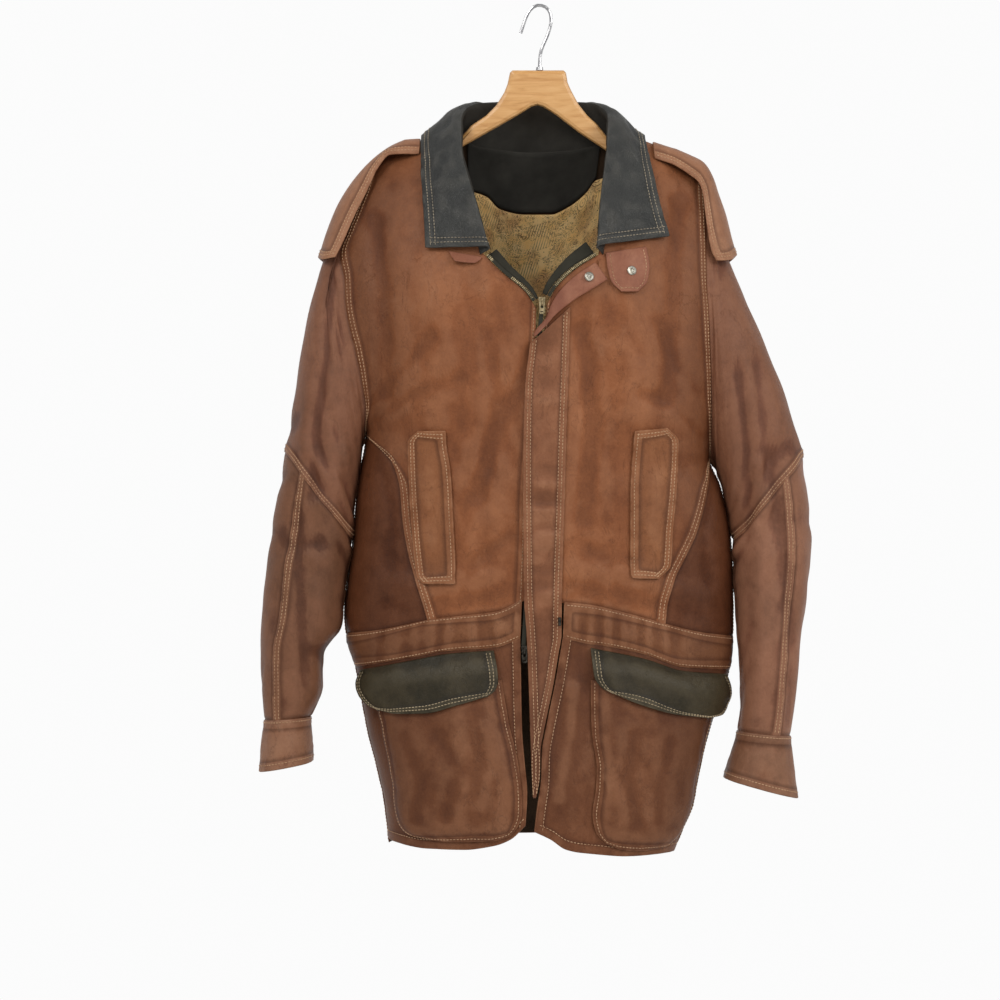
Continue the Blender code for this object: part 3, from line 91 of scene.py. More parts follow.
hemBackSide = -1012
hemBack = -1006
skirtEdgeLeft = [(-24, -761), (-23, -838), (-22, -874), (-19, -910), (-16, -946), (-18, -984)]
skirtEdgeRight = [(27, -760), (18, -814), (13, -838), (6, -872), (2, -896), (1, -926),
                    (-4, -965), (-7, -991)]


def unit(vectors):
    return vectors / np.linalg.norm(vectors, axis=-1, keepdims=True)


def ease(share):
    return share * share * (3 - 2 * share)


# The length along a line up to each of its points.
def runOf(line):
    return np.concatenate([[0], np.cumsum(np.linalg.norm(np.diff(line, axis=0), axis=1))])


def sampled(where, run, line):
    return np.stack([np.interp(where, run, line[:, k]) for k in range(3)], axis=-1)


# A curve through the given values that never overshoots them.
def smooth(keys, values):
    order = np.argsort(keys)
    keys = np.array(keys, float)[order]
    values = np.array(values, float)[order]
    step = np.diff(keys)
    slope = np.diff(values) / step
    product = slope[:-1] * slope[1:]
    total = slope[:-1] + slope[1:]
    tangent = np.empty(len(keys))
    tangent[0] = slope[0]
    tangent[-1] = slope[-1]
    flat = product <= 0
    tangent[1:-1] = np.where(flat, 0.0, 2 * product / np.where(flat, 1.0, total))

    def at(value):
        value = np.clip(value, keys[0], keys[-1])
        i = np.clip(np.searchsorted(keys, value) - 1, 0, len(keys) - 2)
        t = (value - keys[i]) / step[i]
        run = step[i]
        return ((1 + 2 * t) * (1 - t) ** 2 * values[i] + t * (1 - t) ** 2 * run * tangent[i]
                + t * t * (3 - 2 * t) * values[i + 1] + t * t * (t - 1) * run * tangent[i + 1])
    return at


def byHeight(points):
    return smooth([p[1] for p in points], [p[0] for p in points])

ridgeAt = smooth([p[0] for p in ridge], [p[1] for p in ridge])
leftAt = byHeight(edgeLeft)
rightAt = byHeight(edgeRight)
frontShareAt = byHeight(frontDepth)
backShareAt = byHeight(backDepths)
frontFolds = [
    ([(-198, -262), (-188, -350), (-186, -470)], 15, 6.0),
    ([(-6, -425), (-40, -490), (-74, -590)], 17, 5.0),
    ([(-120, -330), (-112, -430), (-122, -500)], 20, -4.0),
    ([(52, -395), (60, -500), (52, -620)], 13, 4.0),
    ([(168, -240), (158, -340), (154, -470)], 16, 5.0),
    ([(112, -320), (104, -420), (112, -490)], 20, -4.0),
    ([(-200, -700), (-130, -700), (-60, -690)], 16, -3.5),
    ([(40, -680), (110, -690), (200, -715)], 16, -3.5),
]
backFolds = [
    ([(-150, -300), (-120, -450), (-135, -640)], 20, 6.0),
    ([(-70, -330), (-52, -480), (-64, -690)], 22, -5.0),
    ([(-10, -420), (4, -560), (-4, -700)], 18, 5.0),
    ([(74, -330), (56, -480), (68, -690)], 22, -5.0),
    ([(148, -310), (122, -460), (138, -650)], 20, 6.0),
    ([(-110, -820), (-104, -900), (-112, -985)], 18, 5.0),
    ([(0, -815), (8, -900), (2, -985)], 20, -5.0),
    ([(104, -820), (98, -900), (106, -985)], 18, 5.0),
]

def distanceToLine(x, z, line):
    nearest = np.full(np.shape(x), 1e9)
    for (x0, z0), (x1, z1) in zip(line[:-1], line[1:]):
        runX = x1 - x0
        runZ = z1 - z0
        t = np.clip(((x - x0) * runX + (z - z0) * runZ) / (runX ** 2 + runZ ** 2), 0, 1)
        nearest = np.minimum(nearest, np.hypot(x - x0 - t * runX, z - z0 - t * runZ))
    return nearest


def foldDepth(x, z, folds):
    depth = np.zeros(np.shape(x))
    for line, width, size in folds:
        depth += size * np.exp(-(distanceToLine(x, z, line) / width) ** 2)
    return depth


def halfWidth(z, left):
    return np.where(left, centreX - leftAt(z), rightAt(z) - centreX)


# Angle round the body of a point seen from the front: 0 is the middle of the front.
def angleOf(x, z, back=False):
    share = np.clip((x - centreX) / halfWidth(z, x < centreX), -1, 1)
    angle = np.arcsin(share)
    return math.pi - angle if back else angle


# Points of the body's outer surface, moved out by lift, and their outward directions.
def bodySurface(angle, z, lift=0.0):
    angle = np.asarray(angle, float)
    z = np.asarray(z, float)
    share = np.sin(angle)
    left = share < 0
    width = halfWidth(z, left)
    x = centreX + width * share
    front = np.cos(angle) > 0
    depth = np.where(front, chestDepth * frontShareAt(z), backDepth * backShareAt(z))
    step = 0.5
    depthUp = np.where(front, chestDepth * frontShareAt(z + step),
                        backDepth * backShareAt(z + step))
    depthSlope = (depthUp - depth) / step
    widthSlope = (halfWidth(z + step, left) - width) / step
    drop = np.clip((ridgeAt(x) - z) / shoulderDrop, 1e-7, 1)
    ridgeSlope = (ridgeAt(x + step) - ridgeAt(x - step)) / (2 * step)
    steep = 2 * drop - drop * drop
    inside = np.maximum(np.cos(angle) ** 2, 1e-7)
    shoulder = steep ** (2 * sectionPower)
    section = inside ** sectionPower
    y = depth * np.sqrt(shoulder * section) * np.where(front, -1, 1)
    rise = 2 * sectionPower * steep ** (2 * sectionPower - 1) * (2 - 2 * drop) / shoulderDrop
    bend = sectionPower * inside ** (sectionPower - 1) * -2 * share
    slopeX = depth ** 2 * (rise * ridgeSlope * section + shoulder * bend / width)
    slopeZ = (2 * depth * depthSlope * shoulder * section
               + depth ** 2 * (-rise * section
                               + shoulder * bend * -(x - centreX) * widthSlope / width ** 2))
    normal = unit(-np.stack([slopeX, -2 * y, slopeZ], axis=-1))
    facing = np.abs(normal[..., 1])
    dents = np.where(front, foldDepth(x, z, frontFolds), foldDepth(x, z, backFolds))
    dents = dents - creaseRise(x, z, front)
    point = np.stack([x, y, z], axis=-1) + normal * (lift - dents * facing)[..., None]
    return point, normal


# Points spread along a smooth line through the given ones.
def trace(points, count, shares=None):
    points = np.array(points, float)
    along = np.concatenate([[0], np.cumsum(np.hypot(*np.diff(points, axis=0).T))])
    shares = np.linspace(0, 1, count + 1) if shares is None else np.array(shares)
    where = shares * along[-1]
    return np.stack([smooth(along, points[:, axis])(where) for axis in (0, 1)], axis=-1)


# The same line as angles round the body and heights.
def onBody(points, back=False):
    return np.stack([angleOf(points[:, 0], points[:, 1], back), points[:, 1]], axis=-1)

zipHalf = 3.6              # half the gap between the fronts along the closed zip
bandSwell = 2.5            # the waistband stands out over the cord inside it
flyCover = 0.13            # angle where the right waistband and skirt start, at the fly

# A point of the armhole: turn 0 is the shoulder, pi the armpit, past pi the back.
def armhole(seam, turn):
    top = ridgeAt(seam[0][0])
    z = top + (seam[-1][1] - top) * (1 - np.cos(turn)) / 2
    return byHeight(seam)(z), z


# The stretches of a line on either side of its point at x.
def partAt(points, x):
    i = [p[0] for p in points].index(x)
    return points[:i + 1], points[i:]

sides = {
    "left": dict(seam=armholeLeft, curved=curvedSeamLeft, neck=necklineLeft, zip=zipLeft,
                 waist=waistTopLeft, waistLow=waistLowLeft, hem=hemLeft,
                 skirtEdge=skirtEdgeLeft, chain=-zipHalf, edge=-sideTurn),
    "right": dict(seam=armholeRight, curved=curvedSeamRight, neck=necklineRight,
                  zip=zipRight, waist=waistTopRight, waistLow=waistLowRight,
                  hem=hemRight, skirtEdge=skirtEdgeRight, chain=zipHalf,
                  edge=sideTurn),
}
rings = {
    "left": [(-203, -192, -210, -518, 45, -8), (-221, -214, -212, -523, 46, -8),
             (-238, -246, -213, -529, 50, -8), (-254, -283, -215.5, -540, 55, -8),
             (-269, -334, -218.5, -558, 60, -8), (-286, -406, -222.5, -582, 62, -8),
             (-297, -475, -225, -610, 62, -9), (-307, -538, -228, -642, 61, -10),
             (-318, -598, -231.5, -673, 59, -12), (-327, -660, -236, -708, 57, -14),
             (-334, -724, -240, -748, 55, -16), (-337, -778, -262, -784, 52, -18),
             (-336, -823, -263, -823, 49, -19), (-332, -863, -277, -859, 46, -20)],
    "right": [(202, -197, 205, -547, 45, -8), (206, -214, 208.5, -552, 46, -8),
              (211, -244, 211, -558, 50, -8), (219, -283, 215, -569, 55, -8),
              (240, -332, 221.5, -586, 60, -8), (271, -404, 225.5, -604, 62, -8),
              (298, -477, 229.5, -622, 62, -9), (316, -545, 233.5, -646, 61, -10),
              (325, -608, 235, -673, 59, -12), (327, -658, 235.5, -706, 57, -14),
              (322, -708, 237, -744, 55, -16), (314, -766, 240, -784, 52, -18),
              (308, -826, 241, -836, 49, -19), (302, -882, 239, -876, 46, -20)],
}
cuffRings = {
    "left": [(-332.4, -863.3, -276.4, -859.3, 46.4, -20), (-336, -892, -274, -888, 48, -21),
             (-338, -924, -273, -912, 48, -22)],
    "right": [(302.4, -882.4, 238.6, -876.4, 46.4, -20), (306, -915, 230, -904, 48, -21),
              (311, -956, 221, -932, 48, -22)],
}
lastRing = 13
blendRings = 5.0      # the sleeve takes up its own section over this many rings
sleeveFolds = {
    "left": ([([(-254, -306), (-258, -373), (-256, -426), (-268, -500), (-272, -590)], 9, 6.0),
              ([(-236, -540), (-250, -600), (-243, -640)], 12, -4.0),
              ([(-300, -500), (-290, -640), (-282, -760), (-278, -850)], 10, 4.0),
              ([(-315, -640), (-300, -655), (-262, -650)], 9, 3.5)],
             [([(-250, -330), (-262, -450), (-268, -560)], 12, 5.0),
              ([(-290, -560), (-284, -700), (-290, -820)], 12, 4.0),
              ([(-320, -655), (-280, -640)], 11, 3.5)]),
    "right": ([([(238, -440), (243, -500), (246, -560), (246, -640)], 9, 5.0),
               ([(262, -430), (268, -500), (284, -610), (296, -690), (304, -770)], 10, 5.5),
               ([(262, -540), (280, -545), (300, -535)], 10, 3.5),
               ([(262, -640), (266, -740), (262, -860)], 12, -3.5)],
              [([(240, -380), (256, -500), (262, -600)], 12, 5.0),
               ([(290, -600), (286, -720), (276, -830)], 12, 4.0),
               ([(310, -640), (268, -630)], 11, 3.5)]),
}

# A point of a sleeve's plain tube: place counts rings, turn 0 is the outer edge.
def ringPoint(rings, place, turn):
    outerX, outerZ, innerX, innerZ, depth, middle = (
        smooth(np.arange(len(rings)), column)(place) for column in np.array(rings, float).T)
    along = (1 + np.cos(turn)) / 2
    bulge = np.sign(np.sin(turn)) * np.abs(np.sin(turn)) ** 0.9
    return np.stack([innerX + (outerX - innerX) * along, middle - depth * bulge,
                     innerZ + (outerZ - innerZ) * along], axis=-1)


# The armhole as angles round the body and heights.
def armholePlace(side, turn):
    x, z = armhole(sides[side]["seam"], turn)
    behind = np.mod(turn, 2 * math.pi) > math.pi
    return np.where(behind, angleOf(x, z, True), angleOf(x, z)), z


# The sleeve's tube, drawn at the top to the armhole of the body.
def sleeveBase(side, place, turn):
    point = ringPoint(rings[side], place, turn)
    share = np.clip(place / blendRings, 0, 1)
    keep = 1 - ease(share)
    seam = bodySurface(*armholePlace(side, turn))[0]
    first = ringPoint(rings[side], np.zeros_like(place), turn)
    return point + keep[..., None] * (seam - first)


# Directions that stand straight out of a tube.
def outward(pointAt, place, turn, top, low):
    step = 0.02
    a = np.clip(place - step, top, low)
    b = np.clip(place + step, top, low)
    down = pointAt(b, turn) - pointAt(a, turn)
    around = pointAt(place, turn + step) - pointAt(place, turn - step)
    return unit(np.cross(around, down))


def sleeve(side, place, turn, lift=0.0):
    place, turn = np.broadcast_arrays(np.asarray(place, float), np.asarray(turn, float))
    point = sleeveBase(side, place, turn)
    normal = outward(lambda p, t: sleeveBase(side, p, t), np.maximum(place, 0.03), turn,
                     0, lastRing)
    middle = (ringPoint(rings[side], place, np.zeros_like(turn))
              + ringPoint(rings[side], place, np.full_like(turn, math.pi))) / 2
    if np.mean(np.sum((point - middle) * normal, axis=-1)) < 0:
        normal = -normal
    front, behind = sleeveFolds[side]
    dents = np.where(normal[..., 1] < 0, foldDepth(point[..., 0], point[..., 2], front),
                     foldDepth(point[..., 0], point[..., 2], behind))
    fade = np.clip((place - 0.5) / 2, 0, 1) * np.clip((lastRing - place) / 1.5, 0, 1)
    return point + normal * (lift - dents * fade * np.abs(normal[..., 1]))[..., None], normal

collarRoll = [(-62, -108, -297), (-77, -93, -248), (-89, -73, -210), (-97, -49, -175),
               (-98, -24, -139), (-89, 0, -120), (-72, 20, -113), (-40, 36, -112), (0, 43, -113),
               (40, 36, -112), (65, 20, -114), (78, 0, -121), (85, -24, -139), (83, -47, -175),
               (77, -75, -216), (72, -94, -253), (70, -108, -295)]
collarEdge = [(-136, -93, -297), (-138, -82, -264), (-140, -67, -233), (-143, -45, -197),
               (-143, -24, -176), (-142, 2, -155), (-125, 34, -160), (-72, 53, -182),
               (0, 60, -190), (66, 53, -182), (113, 34, -160), (126, 2, -155),
               (130, -22, -174), (134, -41, -197), (140, -58, -228), (146, -67, -254),
               (154, -73, -282)]
collarLift = 1.0      # the neck seam of the collar stands this far off the body
ridgeLift = 2.2       # and this much more where it crosses the shoulder line
collarOverlap = 3.0   # the seam lies this far outside the body's neckline

def neckSeam():
    left = np.array(necklineLeft[::-1], float) - (collarOverlap, 0)
    right = np.array(necklineRight, float) + (collarOverlap, 0)
    left[-1, 1] = ridgeAt(left[-1, 0])
    right[0, 1] = ridgeAt(right[0, 0])
    middle = np.array(backNeckline[1:-1], float) * (1 + collarOverlap / 90, 1)
    behind = np.concatenate([left[-1:], middle - (0, collarOverlap), right[:1]])
    parts = [(trace(left, 5), False), (trace(behind, 6)[1:-1], True), (trace(right, 5), False)]
    points = []
    for line, backSide in parts:
        where = onBody(line, backSide)
        near = np.exp(-((ridgeAt(line[:, 0]) - line[:, 1]) / 12) ** 2)
        points.append(bodySurface(where[:, 0], where[:, 1], collarLift + ridgeLift * near)[0])
    return np.concatenate(points)


def through(points, shares):
    points = np.array(points, float)
    along = runOf(points)
    along /= along[-1]
    return np.stack([smooth(along, points[:, axis])(shares) for axis in range(3)], axis=-1)


# Points of the collar's upper surface: step 0 is the neck seam, 1 the roll, 2 the edge.
def collarSurface(shares, steps):
    neck = through(neckSeam(), shares)
    keys = np.linspace(0, 1, len(collarRoll))
    roll, edge = (np.stack([smooth(keys, column)(shares) for column in np.array(line, float).T],
                           axis=-1) for line in (collarRoll, collarEdge))
    up = roll - neck
    height = np.linalg.norm(up, axis=-1, keepdims=True)
    out = edge - neck
    out -= up * np.sum(out * up, axis=-1, keepdims=True) / height ** 2
    turn = unit(out) * np.clip(height * 1.1, 14, 34)
    fall = edge - roll
    grid = []
    for step in steps:
        if step <= 1:
            grid.append(hermite(neck, roll, up, turn, step))
        else:
            grid.append(hermite(roll, edge, turn * 1.2, fall, step - 1))
    return np.stack(grid)


def hermite(start, end, leave, arrive, t):
    return ((1 + 2 * t) * (1 - t) ** 2 * start + t * (1 - t) ** 2 * leave
            + t * t * (3 - 2 * t) * end + t * t * (t - 1) * arrive)


def gridDirections(points):
    along = np.gradient(points, axis=1)
    down = np.gradient(points, axis=0)
    return unit(np.cross(along, down))

flyLeft = [(-12, -412), (-18, -467), (-20, -562), (-19, -709), (-16, -755), (-14, -798),
            (-13, -826), (-11, -892), (-8.5, -950)]
flyRight = [(35, -369), (33, -440), (31, -500), (28, -600), (25, -713), (24.5, -757),
             (21, -780), (15.5, -814), (10.5, -838), (3.5, -872), (-0.5, -896), (-1.5, -926),
             (-5.5, -950)]
turnbackFold = [(-8, -400), (-3, -393), (7, -381), (12, -368), (23, -350), (44, -330),
                 (65, -316)]
turnbackEdge = [(-7, -404), (4, -393), (18, -377), (42, -358), (60, -347), (78, -336)]
throatTab = ([(78, -304), (80, -322), (84, -338), (95, -350)],
              [(125, -297), (128, -319), (125, -338), (114, -350)])
collarTab = ([(-108, -302), (-105, -308), (-100, -315)], [(-70, -309), (-72, -312), (-78, -316)])
welts = {
    "left": ([(-145, -516), (-157, -529), (-155, -592), (-151, -646), (-146, -688), (-138, -697)],
             [(-112, -516), (-112, -527), (-107, -562), (-103, -635), (-101, -690),
              (-101, -697)]),
    "right": ([(112, -516), (111, -527), (107, -592), (107, -650), (107, -685), (109, -690)],
              [(150, -512), (163, -527), (162, -570), (157, -635), (155, -675), (140, -691)]),
}
bags = {
    "left": ([(-197, -836), (-120, -822), (-46, -812)],
             [(-148, -1000), (-112, -1004), (-60, -1003), (-37, -997)],
             [(-197, -836), (-185, -887), (-175, -940), (-172, -972), (-161, -994),
              (-148, -1000)],
             [(-46, -812), (-37, -865), (-27, -908), (-22, -950), (-22, -968), (-27, -985),
              (-37, -997)]),
    "right": ([(60, -812), (130, -832), (207, -848)],
              [(78, -1006), (96, -1013), (115, -1015), (152, -1012)],
              [(60, -812), (60, -839), (61, -876), (67, -918), (66, -940), (62, -972),
               (66, -992), (78, -1006)],
              [(207, -848), (199, -875), (186, -930), (180, -962), (169, -990), (152, -1012)]),
}
flaps = {
    "left": ([(-214, -802), (-155, -790), (-107, -781), (-56, -777)],
             [(-188, -848), (-167, -852), (-133, -851), (-101, -843), (-62, -832)],
             [(-214, -802), (-213, -812), (-208, -828), (-200, -841), (-188, -848)],
             [(-56, -777), (-51, -800), (-50, -815), (-54, -826), (-62, -832)]),
    "right": ([(60, -774), (126, -788), (169, -802), (222, -807)],
              [(83, -828), (113, -840), (161, -853), (192, -856)],
              [(60, -774), (61, -790), (63, -808), (72, -822), (83, -828)],
              [(222, -807), (221, -820), (215, -840), (207, -852), (192, -856)]),
}
neckFacingTop = [(-88, -160), (-76, -166), (-50, -170), (-6, -173), (40, -170), (62, -166),
                 (75, -160)]
neckFacingLow = [(-88, -216), (-65, -223), (-48, -238), (-18, -244), (14, -244), (36, -235),
                   (58, -218), (70, -202)]
liningTop = [(-122, -214), (-88, -219), (-65, -226), (-48, -241), (-18, -247), (14, -247),
              (36, -238), (58, -221), (72, -205), (108, -200)]
liningLow = -412

# A grid between four lines with its rows and columns at uneven shares.
def coonsGrid(top, bottom, left, right, along, down):
    a = onBody(trace(top, len(along) - 1, along))
    b = onBody(trace(bottom, len(along) - 1, along))
    c = onBody(trace(left, len(down) - 1, down))
    d = onBody(trace(right, len(down) - 1, down))
    v = np.array(down)[:, None, None]
    u = np.array(along)[None, :, None]
    return ((1 - v) * a[None] + v * b[None] + (1 - u) * c[:, None] + u * d[:, None]
            - (1 - v) * ((1 - u) * a[0] + u * a[-1]) - v * ((1 - u) * b[0] + u * b[-1]))

straps = {
    "left": [((-146, -158), (-146, -180, -27)), ((-160, -163), (-160, -180, -26)),
             ((-178, -171), (-180, -181, -26)), ((-199, -186), (-196, -198, -28)),
             ((-220, -208), (-208, -224, -33)), ((-241, -240), (-224, -257, -40)),
             ((-257, -278), (-238, -290, -46)), ((-262, -294), (-246, -306, -48))],
    "right": [((139, -162), (139, -185, -27)), ((158, -172), (159, -192, -26)),
              ((180, -182), (179, -204, -27)), ((197, -191), (193, -216, -30)),
              ((207, -207), (198, -232, -34)), ((214, -228), (200, -254, -39)),
              ((223, -254), (203, -280, -43)), ((230, -280), (207, -300, -46)),
              ((233, -291), (212, -310, -47))],
}

# Noise on an even net of points, the same on every run
def netValue(i, j, seed):
    value = np.sin(i * 127.1 + j * 311.7 + seed * 74.7) * 43758.5453
    return value - np.floor(value)


def softNoise(u, v, seed=0):
    i = np.floor(u)
    j = np.floor(v)
    a = u - i
    b = v - j
    a = ease(a)
    b = ease(b)
    low = netValue(i, j, seed) * (1 - a) + netValue(i + 1, j, seed) * a
    high = netValue(i, j + 1, seed) * (1 - a) + netValue(i + 1, j + 1, seed) * a
    return (low * (1 - b) + high * b) * 2 - 1


creases = {
    "broad": 2.3,       # mm that the leather rolls in and out over a hand's width
    "fine": 0.8,       # small buckles
    "waist": 2.2,       # gathers over the cord in the waistband
    "skirt": 2.4,       # upright folds below it
    "elbow": 3.6,
    "armpit": 2.4,
    "cuff": 0.9,
}

# Small creases drawn on the front and back: line, width and depth in mm
frontCreases = [
    ([(-196, -500), (-150, -470), (-96, -452)], 7, 1.8),
    ([(-200, -480), (-162, -440), (-128, -400)], 8, 1.6),
    ([(-190, -560), (-176, -610), (-182, -668)], 6, 1.6),
    ([(-222, -640), (-196, -648), (-172, -640)], 5, 1.4),
    ([(-60, -400), (-52, -470), (-66, -560)], 9, 1.4),
    ([(-36, -640), (-70, -664), (-92, -700)], 7, 1.3),
    ([(196, -520), (160, -486), (120, -470)], 7, 1.8),
    ([(190, -470), (160, -430), (138, -380)], 8, 1.6),
    ([(206, -590), (194, -640), (206, -700)], 6, 1.6),
    ([(60, -420), (72, -500), (66, -600)], 9, 1.4),
    ([(44, -640), (76, -670), (98, -712)], 7, 1.3),
    ([(-120, -876), (-96, -920), (-108, -972)], 10, 2.0),
    ([(-160, -880), (-140, -930), (-146, -978)], 8, 1.6),
    ([(-66, -866), (-56, -912), (-70, -960)], 8, -1.4),
    ([(110, -880), (100, -926), (112, -978)], 10, 2.0),
    ([(150, -886), (140, -930), (134, -978)], 8, 1.6),
    ([(40, -820), (34, -880), (22, -950)], 8, -2.2),
    ([(22, -800), (20, -860), (8, -930)], 6, 1.8),
]
backCreases = [
    ([(-190, -520), (-140, -480), (-90, -462)], 8, 1.8),
    ([(190, -530), (140, -486), (92, -468)], 8, 1.8),
    ([(-170, -640), (-120, -660), (-70, -650)], 8, 1.5),
    ([(160, -650), (112, -668), (66, -655)], 8, 1.5),
    ([(-80, -230), (0, -252), (80, -230)], 10, 1.6),
    ([(-40, -820), (-48, -900), (-36, -980)], 10, 2.0),
    ([(60, -820), (66, -900), (56, -980)], 10, 2.0),
]


# How far the small creases stand out of the body's form at a point seen from the front.
def creaseRise(x, z, front):
    seed = np.where(front, 3.0, 8.0)
    near = np.exp(-((z + 752) / 26) ** 2)
    below = np.clip((-800 - z) / 60, 0, 1)
    edge = np.clip((ridgeAt(x) - z) / 50, 0, 1)
    rise = creases["broad"] * edge * softNoise(x / 74, z / 118, seed)
    rise = rise + creases["fine"] * edge * softNoise(x / 17 + z / 90, z / 34, seed + 1)
    rise = rise + creases["waist"] * near * softNoise(x / 10, z / 70, seed + 2)
    rise = rise + creases["skirt"] * below * softNoise(x / 34, z / 190, seed + 4)
    lines = np.where(front, foldDepth(x, z, frontCreases), foldDepth(x, z, backCreases))
    return rise - lines * edge


# And out of a sleeve: place counts rings, turn goes round it.
def sleeveRise(side, place, turn):
    seed = 20.0 if side == "left" else 31.0
    along = place * 52.0
    start = np.clip((place - 0.15) / 0.8, 0, 1)
    end = np.clip((lastRing - place) / 0.5, 0, 1)
    cycle = np.cos(turn), np.sin(turn)
    rise = creases["broad"] * softNoise(cycle[0] * 1.3 + 9, cycle[1] * 1.3 + along / 130, seed)
    rise = rise + creases["fine"] * softNoise(cycle[0] * 3 + along / 60, cycle[1] * 3 + along / 26,
                                              seed + 1)
    bend = np.exp(-((place - 7.3) / 1.9) ** 2)
    rise = rise + creases["elbow"] * bend * softNoise(cycle[0] * 1.6 + 5,
                                                      cycle[1] * 1.6 + along / 19, seed + 2)
    pit = np.exp(-(place / 2.2) ** 2) * (0.5 - 0.5 * cycle[0])
    rise = rise + creases["armpit"] * pit * softNoise(cycle[0] * 4 + 3, cycle[1] * 4 + along / 40,
                                                      seed + 3)
    low = np.exp(-((lastRing - place) / 1.3) ** 2)
    rise = rise + creases["cuff"] * low * softNoise(cycle[0] * 5 + 7, cycle[1] * 5 + along / 70,
                                                    seed + 4)
    return rise * start * end


# Distances in mm of each point of a grid from the grid's four edges, along its rows and columns.
def edgeDistances(points):
    across = np.cumsum(np.linalg.norm(np.diff(points, axis=1), axis=2), axis=1)
    down = np.cumsum(np.linalg.norm(np.diff(points, axis=0), axis=2), axis=0)
    across = np.concatenate([np.zeros((len(points), 1)), across], axis=1)
    down = np.concatenate([np.zeros((1, points.shape[1])), down], axis=0)
    return {"left": across, "right": across[:, -1:] - across,
            "top": down, "bottom": down[-1:] - down}


seam = {
    "height": 0.95,      # mm that the turned-in edge of a panel stands over its neighbour
    "width": 9.0,
    "tuck": 1.1,         # how deep the neighbour's edge goes under it
    "reach": 1.3,        # how far both edges go past the seam line
    "pucker": 0.3,
}


farFromEdge = 60.0       # mm that stand for the middle of a piece in the edge field


# Shape the edges of a grid: over lies on its neighbour, under goes below it, hem is turned in.
def shapeEdges(points, out, roles, seed=0):
    points = points.copy()
    far = edgeDistances(points)
    rise = np.zeros(points.shape[:2])
    nearest = np.full(points.shape[:2], farFromEdge)
    for edge, role in roles.items():
        d = far[edge]
        other = far["top"] if edge in ("left", "right") else far["left"]
        if role in ("over", "hem"):
            step = ease(np.clip((seam["width"] + 1.2 - d) / 2.4, 0, 1))
            pucker = seam["pucker"] * softNoise(other / 7.0, d / 6.0, seed + len(edge))
            height = seam["height"] if role == "over" else seam["height"] * 0.6
            rise = np.maximum(rise, step * (height + pucker))
            nearest = np.minimum(nearest, d)
        else:
            rise -= seam["tuck"] * np.clip(1 - d / 3.2, 0, 1)
            nearest = np.minimum(nearest, d + 8)
    ends = {"top": (0, 1), "bottom": (-1, -2)}
    for edge in ("top", "bottom"):
        if roles.get(edge) in ("over", "under"):
            a, b = ends[edge]
            run = points[a] - points[b]
            points[a] += unit(run) * seam["reach"]
    for edge, a, b in (("left", 0, 1), ("right", -1, -2)):
        if roles.get(edge) in ("over", "under"):
            run = points[:, a] - points[:, b]
            points[:, a] += unit(run) * seam["reach"]
    return points + out * rise[..., None], nearest


# The steps of a grid's lines: even ones, and closer ones near both ends.
def steps(count, per, near=()):
    even = np.arange(count * per + 1) / per
    close = [n for n in near] + [count - n for n in near]
    keep = [v for v in even if v in (0, count) or all(abs(v - c) > 0.3 / per for c in close)]
    return np.array(sorted(set(np.round(keep + close, 5))))


sheetFacts = []
pieceGrids = {}
leastShare = 0.4      # a stated area is at least this share of the stated width times length


# The wall between a grid and its underside, rounded at its rim: mesh, points, faces on top.
def wallMesh(name, points, out, wall, ring):
    rows, columns = points.shape[:2]
    count = rows * columns
    flat = points.reshape(-1, 3)
    under = (points - out * wall).reshape(-1, 3)
    index = np.arange(count).reshape(rows, columns)
    turned = np.roll(index, -1, axis=1) if ring else index[:, 1:]
    base = index if ring else index[:, :-1]
    quads = np.stack([base[:-1], turned[:-1], turned[1:], base[1:]], axis=-1).reshape(-1, 4)
    if ring:
        loops = [(index[0], points[0] - points[1]),
                 (index[-1][::-1], (points[-1] - points[-2])[::-1])]
    else:
        order = np.concatenate([index[0, :-1], index[:-1, -1], index[-1, :0:-1], index[:0:-1, 0]])
        away = np.zeros_like(points)
        away[0] += points[0] - points[1]
        away[-1] += points[-1] - points[-2]
        away[:, 0] += points[:, 0] - points[:, 1]
        away[:, -1] += points[:, -1] - points[:, -2]
        loops = [(order, away.reshape(-1, 3)[order])]
    verts = [flat, under]
    faces = [quads, quads[:, ::-1] + count]
    total = 2 * count
    for order, away in loops:
        away = away / np.maximum(np.linalg.norm(away, axis=-1, keepdims=True), 1e-9)
        verts.append((flat[order] + under[order]) / 2 + away * wall * 0.4)
        mid = total + np.arange(len(order))
        nextOrder = np.roll(order, -1)
        nextMid = np.roll(mid, -1)
        faces.append(np.stack([nextOrder, order, mid, nextMid], axis=-1))
        faces.append(np.stack([nextMid, mid, order + count, nextOrder + count], axis=-1))
        total += len(order)
    verts = np.concatenate(verts) * mm
    faces = np.concatenate(faces)
    mesh = bpy.data.meshes.new(name)
    mesh.from_pydata(verts.tolist(), [], faces.tolist())
    corners = verts[faces]
    volume = np.sum(corners[:, 0] * np.cross(corners[:, 1], corners[:, 2])
                    + corners[:, 0] * np.cross(corners[:, 2], corners[:, 3]))
    if volume < 0:
        mesh.flip_normals()
    mesh.shade_smooth()
    return mesh, total, len(quads)
